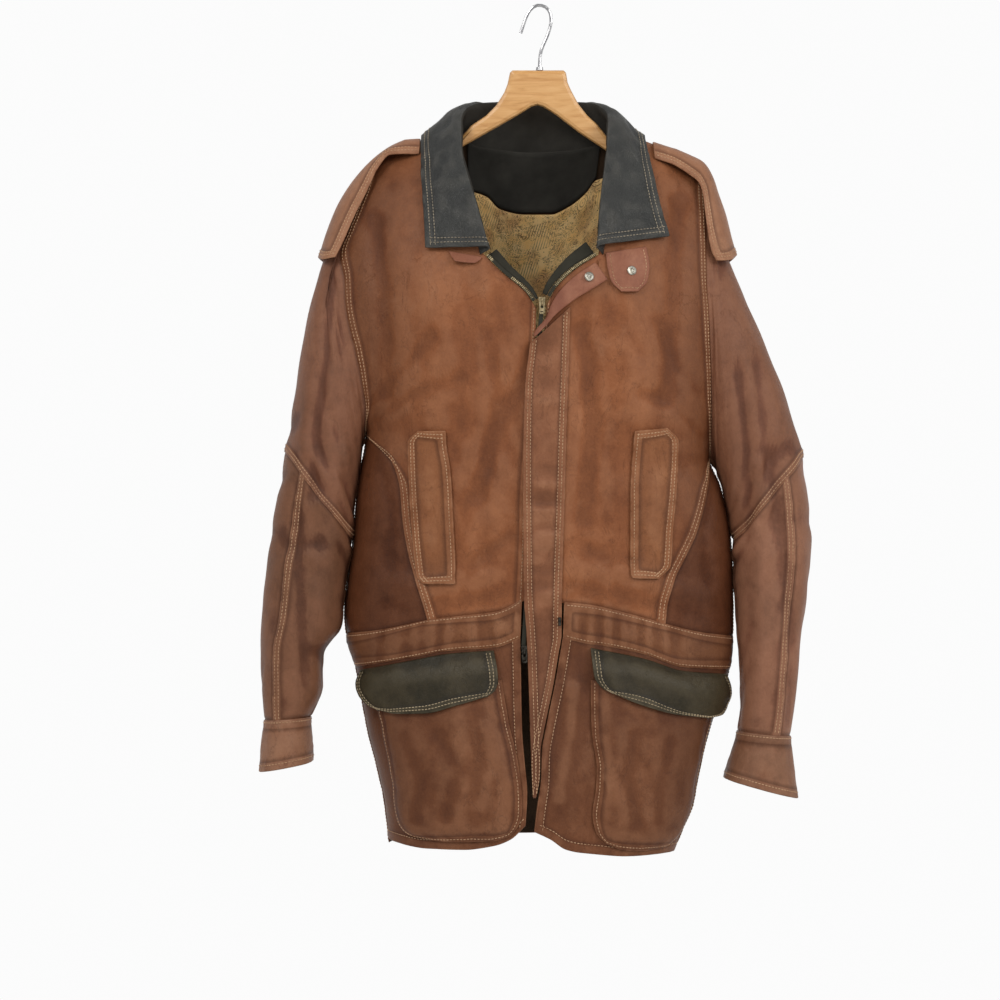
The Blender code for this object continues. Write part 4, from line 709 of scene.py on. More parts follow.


# What the materials read: distance to the edges, creases, and the flat cut as a UV map; the
# creases set painted shade in the valleys and painted highlight on the ridges.
def markMesh(mesh, total, points, nearest, crease):
    count = nearest.size
    edgeValue = np.zeros(total)
    edgeValue[:count] = nearest.reshape(-1)
    edgeValue[count:2 * count] = farFromEdge
    creaseValue = np.zeros(total)
    creaseValue[:count] = crease.reshape(-1)
    for key, values in (("edge", edgeValue), ("crease", creaseValue)):
        field = mesh.attributes.new(key, "FLOAT", "POINT")
        field.data.foreach_set("value", values.astype(np.float32))
    measure = edgeDistances(points)
    place = np.zeros((total, 2))
    place[:count, 0] = measure["left"].reshape(-1)
    place[:count, 1] = measure["top"].reshape(-1)
    place[count:2 * count] = place[:count]
    uv = mesh.uv_layers.new(name="cut")
    corner = np.zeros(len(mesh.loops), int)
    mesh.loops.foreach_get("vertex_index", corner)
    uv.data.foreach_set("uv", (place[corner] * mm).astype(np.float32).reshape(-1))


# State the cut of a sheet, measured along the middle of its wall.
def stateSheet(name, points, ring):
    if ring:
        points = np.concatenate([points, points[:, :1]], axis=1)
    size = edgeDistances(points)
    wide = size["left"].max() * mm
    long = size["top"].max() * mm
    a = np.cross(points[:-1, 1:] - points[:-1, :-1], points[1:, :-1] - points[:-1, :-1])
    b = np.cross(points[1:, :-1] - points[1:, 1:], points[:-1, 1:] - points[1:, 1:])
    area = (np.linalg.norm(a, axis=-1).sum() + np.linalg.norm(b, axis=-1).sum()) / 2 * mm * mm
    wide = max(min(wide, area / long / leastShare), area / long)
    sheetFacts.append((name, wide, long, area))


# A closed wall of leather or cloth on a grid of points, rounded at its edges.
def makeCloth(name, points, out, wall, look, roles=None, ring=False,
              seed=0, crease=None, inside=None):
    if ring:
        far = edgeDistances(points)
        nearest = np.minimum(far["top"], far["bottom"])
    else:
        points, nearest = shapeEdges(points, out, roles or {}, seed)
    mesh, total, topFaces = wallMesh(name, points, out, wall, ring)
    markMesh(mesh, total, points, nearest, bumpiness(points, out) if crease is None else crease)
    piece = bpy.data.objects.new(name + "_dressed", mesh)
    bpy.context.scene.collection.objects.link(piece)
    mesh.materials.append(look)
    if inside:
        mesh.materials.append(inside)
        sideOf = np.zeros(len(mesh.polygons), np.int32)
        sideOf[topFaces:2 * topFaces] = 1
        mesh.polygons.foreach_set("material_index", sideOf)
    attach(piece, "coat")
    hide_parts(name)
    stateSheet(name, points - out * wall / 2, ring)
    pieceGrids[name] = (points, out)


# How far each point stands above or below the ones round it, for painted shade in the hollows and
# wear with painted highlight on the rises.
def bumpiness(points, out):
    soft = points.copy()
    for _ in range(3):
        soft[1:-1] = (soft[:-2] + soft[1:-1] * 2 + soft[2:]) / 4
        soft[:, 1:-1] = (soft[:, :-2] + soft[:, 1:-1] * 2 + soft[:, 2:]) / 4
    value = np.sum((points - soft) * out, axis=-1)
    for _ in range(2):
        value[1:-1] = (value[:-2] + value[1:-1] * 2 + value[2:]) / 4
        value[:, 1:-1] = (value[:, :-2] + value[:, 1:-1] * 2 + value[:, 2:]) / 4
    return np.clip(value * 5, -1, 1)


stitch = {"pitch": 4.2, "long": 3.2, "wide": 1.1, "high": 0.6, "sides": 6}
stitchPlaces = {}


# Sew a row of stitches along points on a surface.
def sew(region, line, out, pitch=None, trim=(0, 0)):
    pitch = pitch or stitch["pitch"]
    run = runOf(line)
    total = run[-1] - trim[0] - trim[1]
    if total < pitch:
        return
    where = trim[0] + np.arange(int(total / pitch)) * pitch + pitch / 2
    along = sampled(where + 1, run, line) - sampled(where - 1, run, line)
    stitchPlaces.setdefault(region, []).append(
        (sampled(where, run, line), along, sampled(where, run, out)))


# The row that lies a distance inside one edge of a grid.
def rowInside(points, out, edge, distance):
    if edge in ("top", "bottom"):
        points = np.swapaxes(points, 0, 1)
        out = np.swapaxes(out, 0, 1)
    if edge in ("right", "bottom"):
        points = points[:, ::-1]
        out = out[:, ::-1]
    run = np.linalg.norm(np.diff(points, axis=1), axis=2)
    run = np.concatenate([np.zeros((len(run), 1)), np.cumsum(run, axis=1)], axis=1)
    far = np.clip(distance, 0, run[:, -1] * 0.98)
    line = np.zeros((len(points), 3))
    lineOut = np.zeros((len(points), 3))
    for i in range(len(points)):
        for k in range(3):
            line[i, k] = np.interp(far[i], run[i], points[i, :, k])
            lineOut[i, k] = np.interp(far[i], run[i], out[i, :, k])
    return line, lineOut


def sewEdge(region, name, edge, distances, trim=(2, 2), pitch=None):
    points, out = pieceGrids[name]
    for distance in distances:
        line, lineOut = rowInside(points, out, edge, distance + seam["reach"])
        sew(region, line, lineOut, pitch, trim)


# One small shape copied to many places, as one mesh.
def copies(name, shape, shapeFaces, places, look):
    at = np.concatenate([p for p, _, _ in places])
    along = np.concatenate([a for _, a, _ in places])
    up = np.concatenate([u for _, _, u in places])
    along = unit(along)
    side = unit(np.cross(up, along))
    up = np.cross(along, side)
    shape = np.array(shape, float)
    points = (at[:, None] + shape[None, :, :1] * along[:, None]
              + shape[None, :, 1:2] * side[:, None] + shape[None, :, 2:] * up[:, None])
    count = len(shape)
    faces = []
    for n in range(len(at)):
        faces.extend([tuple(i + n * count for i in face) for face in shapeFaces])
    mesh = bpy.data.meshes.new(name)
    mesh.from_pydata((points.reshape(-1, 3) * mm).tolist(), [], faces)
    mesh.shade_smooth()
    mesh.materials.append(look)
    piece = bpy.data.objects.new(name, mesh)
    bpy.context.scene.collection.objects.link(piece)
    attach(piece, "coat")
    return piece


# A socket of a material whose arithmetic adds its Math nodes.
class Socket:
    def __init__(self, tree, socket=None):
        self.tree = tree
        self.socket = socket

    def add(self, kind, settings=None, values=None, out=0):
        node = self.tree.nodes.new(kind)
        for key, value in (settings or {}).items():
            if key == "stops":
                while len(node.color_ramp.elements) < len(value):
                    node.color_ramp.elements.new(0.5)
                for stop, (place, colour) in zip(node.color_ramp.elements, value):
                    stop.position = place
                    stop.color = (*colour, 1.0)
            else:
                setattr(node, key, value)
        for key, value in (values or {}).items():
            if isinstance(value, Socket):
                self.tree.links.new(value.socket, node.inputs[key])
            else:
                node.inputs[key].default_value = value
        return Socket(self.tree, node.outputs[out])

    def __add__(self, other):
        return maths(self, "ADD", self, other)

    def __radd__(self, other):
        return maths(self, "ADD", other, self)

    def __sub__(self, other):
        return maths(self, "SUBTRACT", self, other)

    def __rsub__(self, other):
        return maths(self, "SUBTRACT", other, self)

    def __mul__(self, other):
        return maths(self, "MULTIPLY", self, other)

    def __rmul__(self, other):
        return maths(self, "MULTIPLY", other, self)

    def __gt__(self, other):
        return maths(self, "GREATER_THAN", self, other)

    def __lt__(self, other):
        return maths(self, "LESS_THAN", self, other)


def maths(start, operation, first, second=0.0):
    return start.add("ShaderNodeMath", {"operation": operation}, {0: first, 1: second})


def newLook(name):
    look = bpy.data.materials.new(name)
    look.use_nodes = True
    shader = look.node_tree.nodes["Principled BSDF"]
    return look, Socket(look.node_tree), shader


def setShader(look, shader, values):
    for key, value in values.items():
        if isinstance(value, Socket):
            look.node_tree.links.new(value.socket, shader.inputs[key])
        else:
            shader.inputs[key].default_value = value


def noise(start, where, scale, detail=3.0, rough=0.55, warp=0.0):
    return start.add("ShaderNodeTexNoise", {"noise_dimensions": "3D"},
                     {"Vector": where, "Scale": scale, "Detail": detail, "Roughness": rough,
                      "Distortion": warp})


def stretched(start, where, scale):
    return start.add("ShaderNodeMapping", None, {"Vector": where, "Scale": scale})


def spreadOf(start, value, low, high):
    return start.add("ShaderNodeMapRange", {"clamp": True},
                     {"Value": value, "From Min": low, "From Max": high, "To Min": 0.0,
                      "To Max": 1.0})


def mixed(start, share, first, second):
    return start.add("ShaderNodeMix", {"data_type": "RGBA"}, {0: share, 6: first, 7: second},
                     out=2)


def bumpOf(start, height, strength, distance):
    return start.add("ShaderNodeBump", None,
                     {"Strength": strength, "Distance": distance, "Height": height})


def colourRamp(start, value, stops):
    return start.add("ShaderNodeValToRGB", {"stops": stops}, {"Fac": value})


# Worn leather: patches, streaks and stains, painted shade in the valleys and just past raised seam
# edges, wear and painted highlight on ridges, and wear on edges
def leatherLook(name, tones, wearAndHighlight, dirtAndShade, rough=0.5, shine=0.22, grain=0.45, sides=0.0,
                edging=0.24, foot=None, veins=0.3, veinTone=None):
    look, start, shader = newLook(name)
    where = start.add("ShaderNodeTexCoord", out=3)
    edge = start.add("ShaderNodeAttribute", {"attribute_name": "edge"}, out=2)
    crease = start.add("ShaderNodeAttribute", {"attribute_name": "crease"}, out=2)
    patches = noise(start, where, 9.0, 4.0, 0.6, 0.4)
    streaks = noise(start, stretched(start, where, (1.0, 1.0, 0.28)), 34.0, 4.0, 0.6)
    mottle = noise(start, where, 62.0, 5.0, 0.65)
    fine = noise(start, where, 340.0, 3.0, 0.6)
    stains = noise(start, stretched(start, where, (1.0, 1.0, 0.6)), 17.0, 5.0, 0.7, 1.2)
    value = patches * 0.38 + streaks * 0.24 + mottle * 0.24 + fine * 0.14
    # the crease value lightens ridges and darkens valleys a little in the ramp: painted highlight
    # and painted shade
    base = colourRamp(start, value + crease * 0.02, list(zip(toneStops, tones)))
    # ridge is wear together with painted highlight on the crease ridges; the valley mask is
    # painted shade in the crease valleys
    ridge = spreadOf(start, crease + mottle * 1.2 - 0.6, 0.1, 1.0)
    valleyShade = spreadOf(start, crease * -1.0 + mottle * 1.2 - 0.6, 0.0, 1.0)
    base = mixed(start, valleyShade * 0.2, base, dirtAndShade)
    base = mixed(start, ridge * 0.2, base, wearAndHighlight)
    rim = (1.0 - spreadOf(start, edge, 0.2, 1.7)) * spreadOf(start, mottle, 0.36, 0.6)
    band = spreadOf(start, edge, 1.2, 3.0) * (1.0 - spreadOf(start, edge, 7.4, 9.2))
    # painted shadow in a band just past the raised seam allowance, where its edge steps down
    seamStepShadow = spreadOf(start, edge, 8.6, 10.0) * (1.0 - spreadOf(start, edge, 10.6, 15.0))
    base = mixed(start, rim * (0.2 + edging * 1.8), base, wearAndHighlight)
    base = mixed(start, band * spreadOf(start, mottle, 0.3, 0.6) * edging, base, wearAndHighlight)
    base = mixed(start, seamStepShadow * 0.5, base, dirtAndShade)
    dark = spreadOf(start, stains, 0.60, 0.78) * spreadOf(start, streaks, 0.35, 0.6)
    base = mixed(start, dark * 0.22, base, dirtAndShade)
    pale = spreadOf(start, stains, 0.44, 0.30) * spreadOf(start, patches, 0.45, 0.62)
    base = mixed(start, pale * 0.3, base, wearAndHighlight)
    # sides is painted shade: the leather darkens away from the middle of the body
    if sides:
        across = start.add("ShaderNodeSeparateXYZ", None, {0: where})
        away = spreadOf(start, maths(start, "ABSOLUTE", across) + patches * 0.05, 0.15, 0.225)
        base = mixed(start, away * sides, base, dirtAndShade)
    # foot darkens the piece towards the bottom, between two heights, by the given share
    if foot:
        height = start.add("ShaderNodeSeparateXYZ", None, {0: where}, out=2)
        low = spreadOf(start, height + streaks * 0.04, foot[0], foot[1])
        base = mixed(start, low * foot[2], base, dirtAndShade)
    lines = noise(start, stretched(start, where, (1.5, 1.5, 0.75)), 24.0, 6.0, 0.62, 0.7)
    lines = maths(start, "ABSOLUTE", lines - 0.5)
    vein = (1.0 - spreadOf(start, lines, 0.0, 0.011)) * spreadOf(start, patches, 0.42, 0.58)
    base = mixed(start, vein * veins, base, veinTone or dirtAndShade)
    scuffs = noise(start, stretched(start, where, (1.0, 1.0, 3.5)), 150.0, 4.0, 0.7, 0.8)
    scuff = spreadOf(start, scuffs, 0.62, 0.72) * spreadOf(start, mottle, 0.5, 0.62)
    base = mixed(start, scuff * 0.28, base, wearAndHighlight)
    pores = start.add("ShaderNodeTexVoronoi", {"feature": "DISTANCE_TO_EDGE"},
                      {"Vector": where, "Scale": 620.0}, out=0)
    wrinkles = noise(start, stretched(start, where, (1.0, 1.0, 0.5)), 120.0, 5.0, 0.72, 1.0)
    height = wrinkles * 1.0 + spreadOf(start, pores, 0.0, 0.25) * 0.22 + fine * 0.45 - vein * 0.5
    bump = bumpOf(start, height, grain, 0.0011)
    setShader(look, shader, {
        "Base Color": base,
        "Roughness": rough + (mottle - 0.5) * 0.25 - ridge * 0.06,
        "Normal": bump,
        "Specular IOR Level": shine,
    })
    return look


# Plain woven cloth with a fine crossing of threads
def clothLook(name, colour, thread=900.0):
    look, start, shader = newLook(name)
    where = start.add("ShaderNodeUVMap", {"uv_map": "cut"})
    warp = start.add("ShaderNodeTexWave", {"bands_direction": "X"},
                     {"Vector": where, "Scale": thread, "Distortion": 0.6})
    weft = start.add("ShaderNodeTexWave", {"bands_direction": "Y"},
                     {"Vector": where, "Scale": thread, "Distortion": 0.6})
    soft = noise(start, where, 22.0, 4.0, 0.6)
    light = tuple(c * 1.9 for c in colour)
    base = mixed(start, spreadOf(start, soft, 0.35, 0.75), (*colour, 1.0), (*light, 1.0))
    bump = bumpOf(start, warp * weft + soft * 1.5, 0.4, 0.0004)
    setShader(look, shader, {"Base Color": base, "Roughness": 0.82, "Normal": bump,
                             "Specular IOR Level": 0.25})
    return look


liningPrint = {
    "cell": 0.030,          # side of one motif's field in metres
    "ground": (0.93, 0.57, 0.20),
    "pale": (0.96, 0.68, 0.31),
    "brown": (0.48, 0.22, 0.09),
    "ink": (0.085, 0.030, 0.010),
}


# Lining with a plain print of rings, hatching and dots in staggered fields
def liningLook(name):
    look, start, shader = newLook(name)
    where = start.add("ShaderNodeUVMap", {"uv_map": "cut"})
    soft = noise(start, where, 40.0, 4.0, 0.6)
    turned = start.add("ShaderNodeMapping", None,
                       {"Vector": where, "Rotation": (0.0, 0.0, 0.32),
                        "Scale": (1 / liningPrint["cell"],) * 3})
    shaken = start.add("ShaderNodeVectorMath", {"operation": "ADD"},
                       {0: turned, 1: (0.5, 0.25, 0.0)})
    cell = start.add("ShaderNodeVectorMath", {"operation": "FLOOR"}, {0: shaken})
    inside = start.add("ShaderNodeVectorMath", {"operation": "FRACTION"}, {0: shaken})
    middle = start.add("ShaderNodeVectorMath", {"operation": "SUBTRACT"},
                       {0: inside, 1: (0.5, 0.5, 0.0)})
    chance = start.add("ShaderNodeTexWhiteNoise", {"noise_dimensions": "2D"}, {"Vector": cell})
    length = start.add("ShaderNodeVectorMath", {"operation": "LENGTH"}, {0: middle}, out=1)
    across = start.add("ShaderNodeSeparateXYZ", None, {0: middle})
    up = start.add("ShaderNodeSeparateXYZ", None, {0: middle}, out=1)
    jitter = noise(start, where, 260.0, 3.0, 0.6) * 0.5
    rings = spreadOf(start, maths(start, "SINE", length * 46.0 + jitter * 4.0), 0.45, 0.75)
    hatch = spreadOf(start, maths(start, "SINE", (across + up * 0.7) * 52.0 + jitter * 5.0),
                     0.35, 0.7)
    cross = spreadOf(start, maths(start, "SINE", (across * 0.8 - up) * 60.0 + jitter * 5.0),
                     0.5, 0.8)
    dots = start.add("ShaderNodeTexVoronoi", {"feature": "F1"},
                     {"Vector": turned, "Scale": 7.0, "Randomness": 0.35})
    dotted = 1.0 - spreadOf(start, dots, 0.16, 0.24)
    disc = 1.0 - spreadOf(start, length, 0.40, 0.43)
    first = rings * disc * (chance < 0.34)
    second = hatch * (chance > 0.34) * (chance < 0.6)
    third = dotted * (chance > 0.6) * (chance < 0.82)
    fourth = cross * hatch * (chance > 0.82)
    ink = (first + second * 0.8 + third + fourth) * spreadOf(start, soft, 0.3, 0.6)
    edge = maths(start, "MAXIMUM", maths(start, "ABSOLUTE", across),
                 maths(start, "ABSOLUTE", up))
    border = spreadOf(start, edge, 0.468, 0.482)
    ink = ink + border * spreadOf(start, soft, 0.42, 0.5) * 0.25
    scribble = maths(start, "SINE", noise(start, where, 62.0, 4.0, 0.6, 1.5) * 62.0)
    dense = noise(start, where, 34.0, 3.0, 0.6)
    ink = ink + spreadOf(start, scribble, 0.5, 0.9) * spreadOf(start, dense, 0.42, 0.5)
    base = mixed(start, spreadOf(start, soft, 0.35, 0.65), (*liningPrint["ground"], 1.0),
                 (*liningPrint["pale"], 1.0))
    brown = spreadOf(start, noise(start, where, 17.0, 4.0, 0.6), 0.5, 0.6)
    base = mixed(start, brown * 0.55, base, (*liningPrint["brown"], 1.0))
    base = mixed(start, spreadOf(start, ink, 0.1, 1.0) * 0.85, base, (*liningPrint["ink"], 1.0))
    weave = start.add("ShaderNodeTexWave", {"bands_direction": "DIAGONAL"},
                      {"Vector": where, "Scale": 500.0})
    bump = bumpOf(start, weave + soft * 2.0, 0.3, 0.0004)
    setShader(look, shader, {"Base Color": base, "Roughness": 0.6, "Normal": bump,
                             "Specular IOR Level": 0.35})
    return look


# Metal with worn high spots and tarnish
def metalLook(name, bright, dull, rough=0.3, scale=300.0):
    look, start, shader = newLook(name)
    where = start.add("ShaderNodeTexCoord", out=3)
    spots = noise(start, where, scale, 4.0, 0.6)
    scratches = noise(start, stretched(start, where, (1.0, 1.0, 6.0)), scale * 3, 3.0, 0.7)
    base = mixed(start, spreadOf(start, spots, 0.38, 0.62), (*dull, 1.0), (*bright, 1.0))
    bump = bumpOf(start, scratches, 0.12, 0.0002)
    setShader(look, shader, {"Base Color": base, "Metallic": 1.0,
                             "Roughness": rough + spots * 0.2, "Normal": bump})
    return look


woodTones = [(0.30, (0.62, 0.285, 0.080)), (0.48, (0.80, 0.425, 0.150)),
             (0.62, (0.88, 0.50, 0.20)), (0.8, (0.92, 0.57, 0.26))]


# Lacquered pale wood, its grain along the arms
def woodLook(name):
    look, start, shader = newLook(name)
    where = start.add("ShaderNodeTexCoord", out=3)
    long = stretched(start, where, (0.9, 5.0, 7.0))
    rings = noise(start, long, 16.0, 5.0, 0.55, 1.6)
    lines = noise(start, stretched(start, where, (0.5, 9.0, 16.0)), 60.0, 4.0, 0.7)
    base = colourRamp(start, rings * 0.72 + lines * 0.28, woodTones)
    marks = noise(start, where, 75.0, 5.0, 0.7, 1.0)
    base = mixed(start, spreadOf(start, marks, 0.66, 0.8) * 0.5, base, (0.33, 0.16, 0.06, 1.0))
    bump = bumpOf(start, lines, 0.15, 0.0004)
    setShader(look, shader, {"Base Color": base, "Roughness": 0.34 + lines * 0.15,
                             "Normal": bump, "Coat Weight": 0.25, "Coat Roughness": 0.2})
    return look


# Thread, a little soiled
def threadLook(name, colour, soil):
    look, start, shader = newLook(name)
    where = start.add("ShaderNodeTexCoord", out=3)
    worn = noise(start, where, 28.0, 4.0, 0.7)
    twist = start.add("ShaderNodeTexWave", {"bands_direction": "DIAGONAL"},
                      {"Vector": where, "Scale": 900.0})
    base = mixed(start, spreadOf(start, worn, 0.42, 0.66), (*colour, 1.0), (*soil, 1.0))
    bump = bumpOf(start, twist, 0.3, 0.0002)
    setShader(look, shader, {"Base Color": base, "Roughness": 0.75, "Normal": bump})
    return look


# Tones of the leathers from dark to light, at these shares of the mottling
toneStops = (0.30, 0.42, 0.52, 0.63)
bodyTones = [(0.127, 0.042, 0.016), (0.216, 0.071, 0.027),
             (0.295, 0.101, 0.038), (0.382, 0.139, 0.055)]
armTones = [(0.086, 0.034, 0.020), (0.150, 0.058, 0.032),
            (0.208, 0.081, 0.045), (0.270, 0.113, 0.063)]
forearmLeftTones = [(0.066, 0.026, 0.014), (0.118, 0.046, 0.024),
                    (0.165, 0.065, 0.034), (0.222, 0.092, 0.050)]
forearmRightTones = [(0.122, 0.050, 0.030), (0.212, 0.088, 0.050),
                     (0.290, 0.122, 0.070), (0.370, 0.165, 0.098)]
skirtTones = [(0.078, 0.027, 0.012), (0.132, 0.044, 0.018),
              (0.177, 0.063, 0.026), (0.227, 0.085, 0.037)]
trimTones = [(0.138, 0.049, 0.020), (0.217, 0.080, 0.032),
             (0.292, 0.110, 0.044), (0.366, 0.147, 0.061)]
cuffTones = [(0.122, 0.055, 0.030), (0.201, 0.090, 0.049),
             (0.278, 0.123, 0.067), (0.355, 0.167, 0.093)]
# Painted shade: a darker copy of the body leather for the side pieces, in the shade under the arms
sideShadeTones = [(0.040, 0.011, 0.004), (0.080, 0.023, 0.008),
             (0.118, 0.036, 0.013), (0.165, 0.056, 0.023)]
# Painted light: a lighter copy of the leather for the straps, standing in for the light on their
# upward faces
strapLitTones = [(0.165, 0.068, 0.034), (0.255, 0.108, 0.056),
              (0.340, 0.150, 0.080), (0.430, 0.205, 0.115)]
flyTones = [(0.135, 0.048, 0.022), (0.210, 0.080, 0.037),
            (0.285, 0.112, 0.053), (0.370, 0.158, 0.080)]
bandTones = [(0.100, 0.032, 0.013), (0.160, 0.056, 0.023),
             (0.215, 0.080, 0.033), (0.285, 0.116, 0.052)]
innerTones = [(0.200, 0.071, 0.044), (0.280, 0.103, 0.061),
              (0.350, 0.140, 0.082), (0.420, 0.190, 0.110)]
collarTones = [(0.011, 0.012, 0.011), (0.021, 0.022, 0.020),
               (0.032, 0.033, 0.030), (0.053, 0.052, 0.047)]
flapTones = [(0.014, 0.011, 0.005), (0.025, 0.020, 0.009),
             (0.040, 0.030, 0.014), (0.060, 0.045, 0.022)]
# Wear colour that also paints the highlight on crease ridges, and dirt colour that also paints the
# shade in valleys, past seam edges and towards the sides
lightWearAndHighlight = (0.46, 0.225, 0.120, 1.0)
darkDirtAndShade = (0.060, 0.018, 0.008, 1.0)
looks = {
    # sides adds painted shade towards the sides of the body, waistband and skirt
    "body": leatherLook("body_leather", bodyTones, lightWearAndHighlight, darkDirtAndShade, sides=0.45),
    # the side pieces wear the leather that paints the shade under the arms
    "side": leatherLook("side_leather_painted_shade", sideShadeTones, (0.20, 0.08, 0.04, 1.0), darkDirtAndShade),
    "band": leatherLook("waistband_leather", bandTones, lightWearAndHighlight, darkDirtAndShade, sides=0.3,
                        edging=0.1),
    "strap": leatherLook("strap_leather_painted_light", strapLitTones, (0.52, 0.27, 0.15, 1.0), darkDirtAndShade),
    "fly": leatherLook("fly_leather", flyTones, lightWearAndHighlight, darkDirtAndShade, edging=0.14,
                       foot=(-0.70, -0.86, 0.5)),
    "arm": leatherLook("sleeve_leather", armTones, lightWearAndHighlight, darkDirtAndShade),
    "forearm_left": leatherLook("left_forearm_leather", forearmLeftTones, lightWearAndHighlight, darkDirtAndShade),
    "forearm_right": leatherLook("right_forearm_leather", forearmRightTones,
                                 (0.50, 0.26, 0.15, 1.0), darkDirtAndShade),
    "skirt": leatherLook("skirt_leather", skirtTones, lightWearAndHighlight, darkDirtAndShade, sides=0.55,
                         edging=0.07),
    "trim": leatherLook("trim_leather", trimTones, lightWearAndHighlight, darkDirtAndShade),
    "cuff": leatherLook("cuff_leather", cuffTones, (0.42, 0.24, 0.15, 1.0), darkDirtAndShade,
                        edging=0.06),
    "inner": leatherLook("inner_leather", innerTones, (0.52, 0.26, 0.17, 1.0),
                         (0.13, 0.04, 0.03, 1.0)),
    "collar": leatherLook("collar_leather", collarTones, (0.13, 0.12, 0.10, 1.0),
                          (0.012, 0.012, 0.011, 1.0), rough=0.38, shine=0.5,
                          grain=0.85, edging=0.06, veins=0.55,
                          veinTone=(0.15, 0.145, 0.13, 1.0)),
    "flap": leatherLook("pocket_flap_leather", flapTones, (0.14, 0.115, 0.07, 1.0),
                        (0.014, 0.012, 0.008, 1.0), rough=0.44, shine=0.3),
    "black": clothLook("neck_facing_cloth", (0.028, 0.026, 0.022)),
    # a dark plain cloth for the inner faces: painted shade standing in for the lining in shadow
    "shadedInsideCloth": clothLook("inside_cloth_painted_shade", (0.035, 0.019, 0.009)),
    "tape": clothLook("zip_tape", (0.030, 0.028, 0.020)),
    "blackened": metalLook("blackened_brass", (0.10, 0.09, 0.075), (0.030, 0.027, 0.022), 0.36),
    "lining": liningLook("lining_print"),
    "thread": threadLook("tan_thread", (0.66, 0.41, 0.24), (0.40, 0.21, 0.11)),
    "darkThread": threadLook("collar_thread", (0.44, 0.37, 0.27), (0.22, 0.18, 0.13)),
    "paleThread": threadLook("flap_thread", (0.56, 0.44, 0.28), (0.30, 0.23, 0.14)),
    "brass": metalLook("aged_brass", (0.62, 0.50, 0.30), (0.22, 0.17, 0.09), 0.28),
    "nickel": metalLook("nickel_stud", (0.66, 0.63, 0.55), (0.26, 0.24, 0.19), 0.26),
    "chrome": metalLook("hook_steel", (0.72, 0.72, 0.73), (0.42, 0.42, 0.44), 0.16, 90.0),
    "wood": woodLook("hanger_wood"),
}
print("looks made")


# Materials of the metal, wood and zip parts that keep their form
for node, look in (("hanger", "wood"), ("hook_ferrule", "chrome"), ("hanger_hook", "chrome"),
                   ("zip_slider_top", "brass"), ("zip_slider_bottom", "blackened"),
                   ("zip_pull_top", "brass"), ("zip_pull_bottom", "blackened"),
                   ("zip_chain", "tape"), ("zip_teeth_left", "tape"),
                   ("zip_teeth_right", "tape"), ("fly_stud", "nickel"),
                   ("throat_stud", "nickel"), ("drawcord_tip", "blackened")):
    part = bpy.data.objects[node]
    part.data.materials.clear()
    part.data.materials.append(looks[look])

panel = {
    "wall": 1.6,
    "perColumn": 5,      # lines of the dressed grid for each column of the plain solid
    "perRow": 6,
    "collarWall": 2.2,
    "cuffWall": 2.4,
    "liningWall": 1.2,
    "layerGap": 0.85,
}


def onLine(points, shares, back=False):
    return onBody(trace(points, 2, shares), back)


def patch(top, low, left, right, along, down):
    along = along[None, :, None]
    down = down[:, None, None]
    return ((1 - down) * top[None] + down * low[None] + (1 - along) * left[:, None]
            + along * right[:, None] - (1 - down) * ((1 - along) * top[0] + along * top[-1])
            - down * ((1 - along) * low[0] + along * low[-1]))


def bodyCloth(name, grid, look, roles, lift=0.0, seed=0):
    points, out = bodySurface(grid[..., 0], grid[..., 1], lift)
    # the inner faces take the dark cloth that paints the lining in shade
    makeCloth(name, points, out, panel["wall"], look, roles, seed=seed,
              inside=looks["shadedInsideCloth"])


bodyGrid = {
    "rows": 18,          # from the shoulder to the waist
    "armpit": 12,        # the row that reaches the armpit
    "front": 12,         # columns of a front, and those where the neck and the zip begin
    "neck": 5,
    "zip": 9,
    "back": 18,          # columns of the back, a third of them under each shoulder
    "shoulder": 6,
}
bandRows = np.array([0, 0.04, 0.11, 0.2, 0.3, 0.4, 0.5, 0.6, 0.7, 0.8, 0.89, 0.96, 1.0])


# A waistband between two lines, swelled out over its cord
def dressBand(name, top, low, roles, seed):
    rows = bandRows[:, None, None]
    grid = (1 - rows) * top[None] + rows * low[None]
    swell = bandSwell * np.sin(math.pi * rows[..., 0]) * np.ones(len(top))
    bodyCloth(name, grid, looks["band"], roles, lift=swell * 0.9, seed=seed)


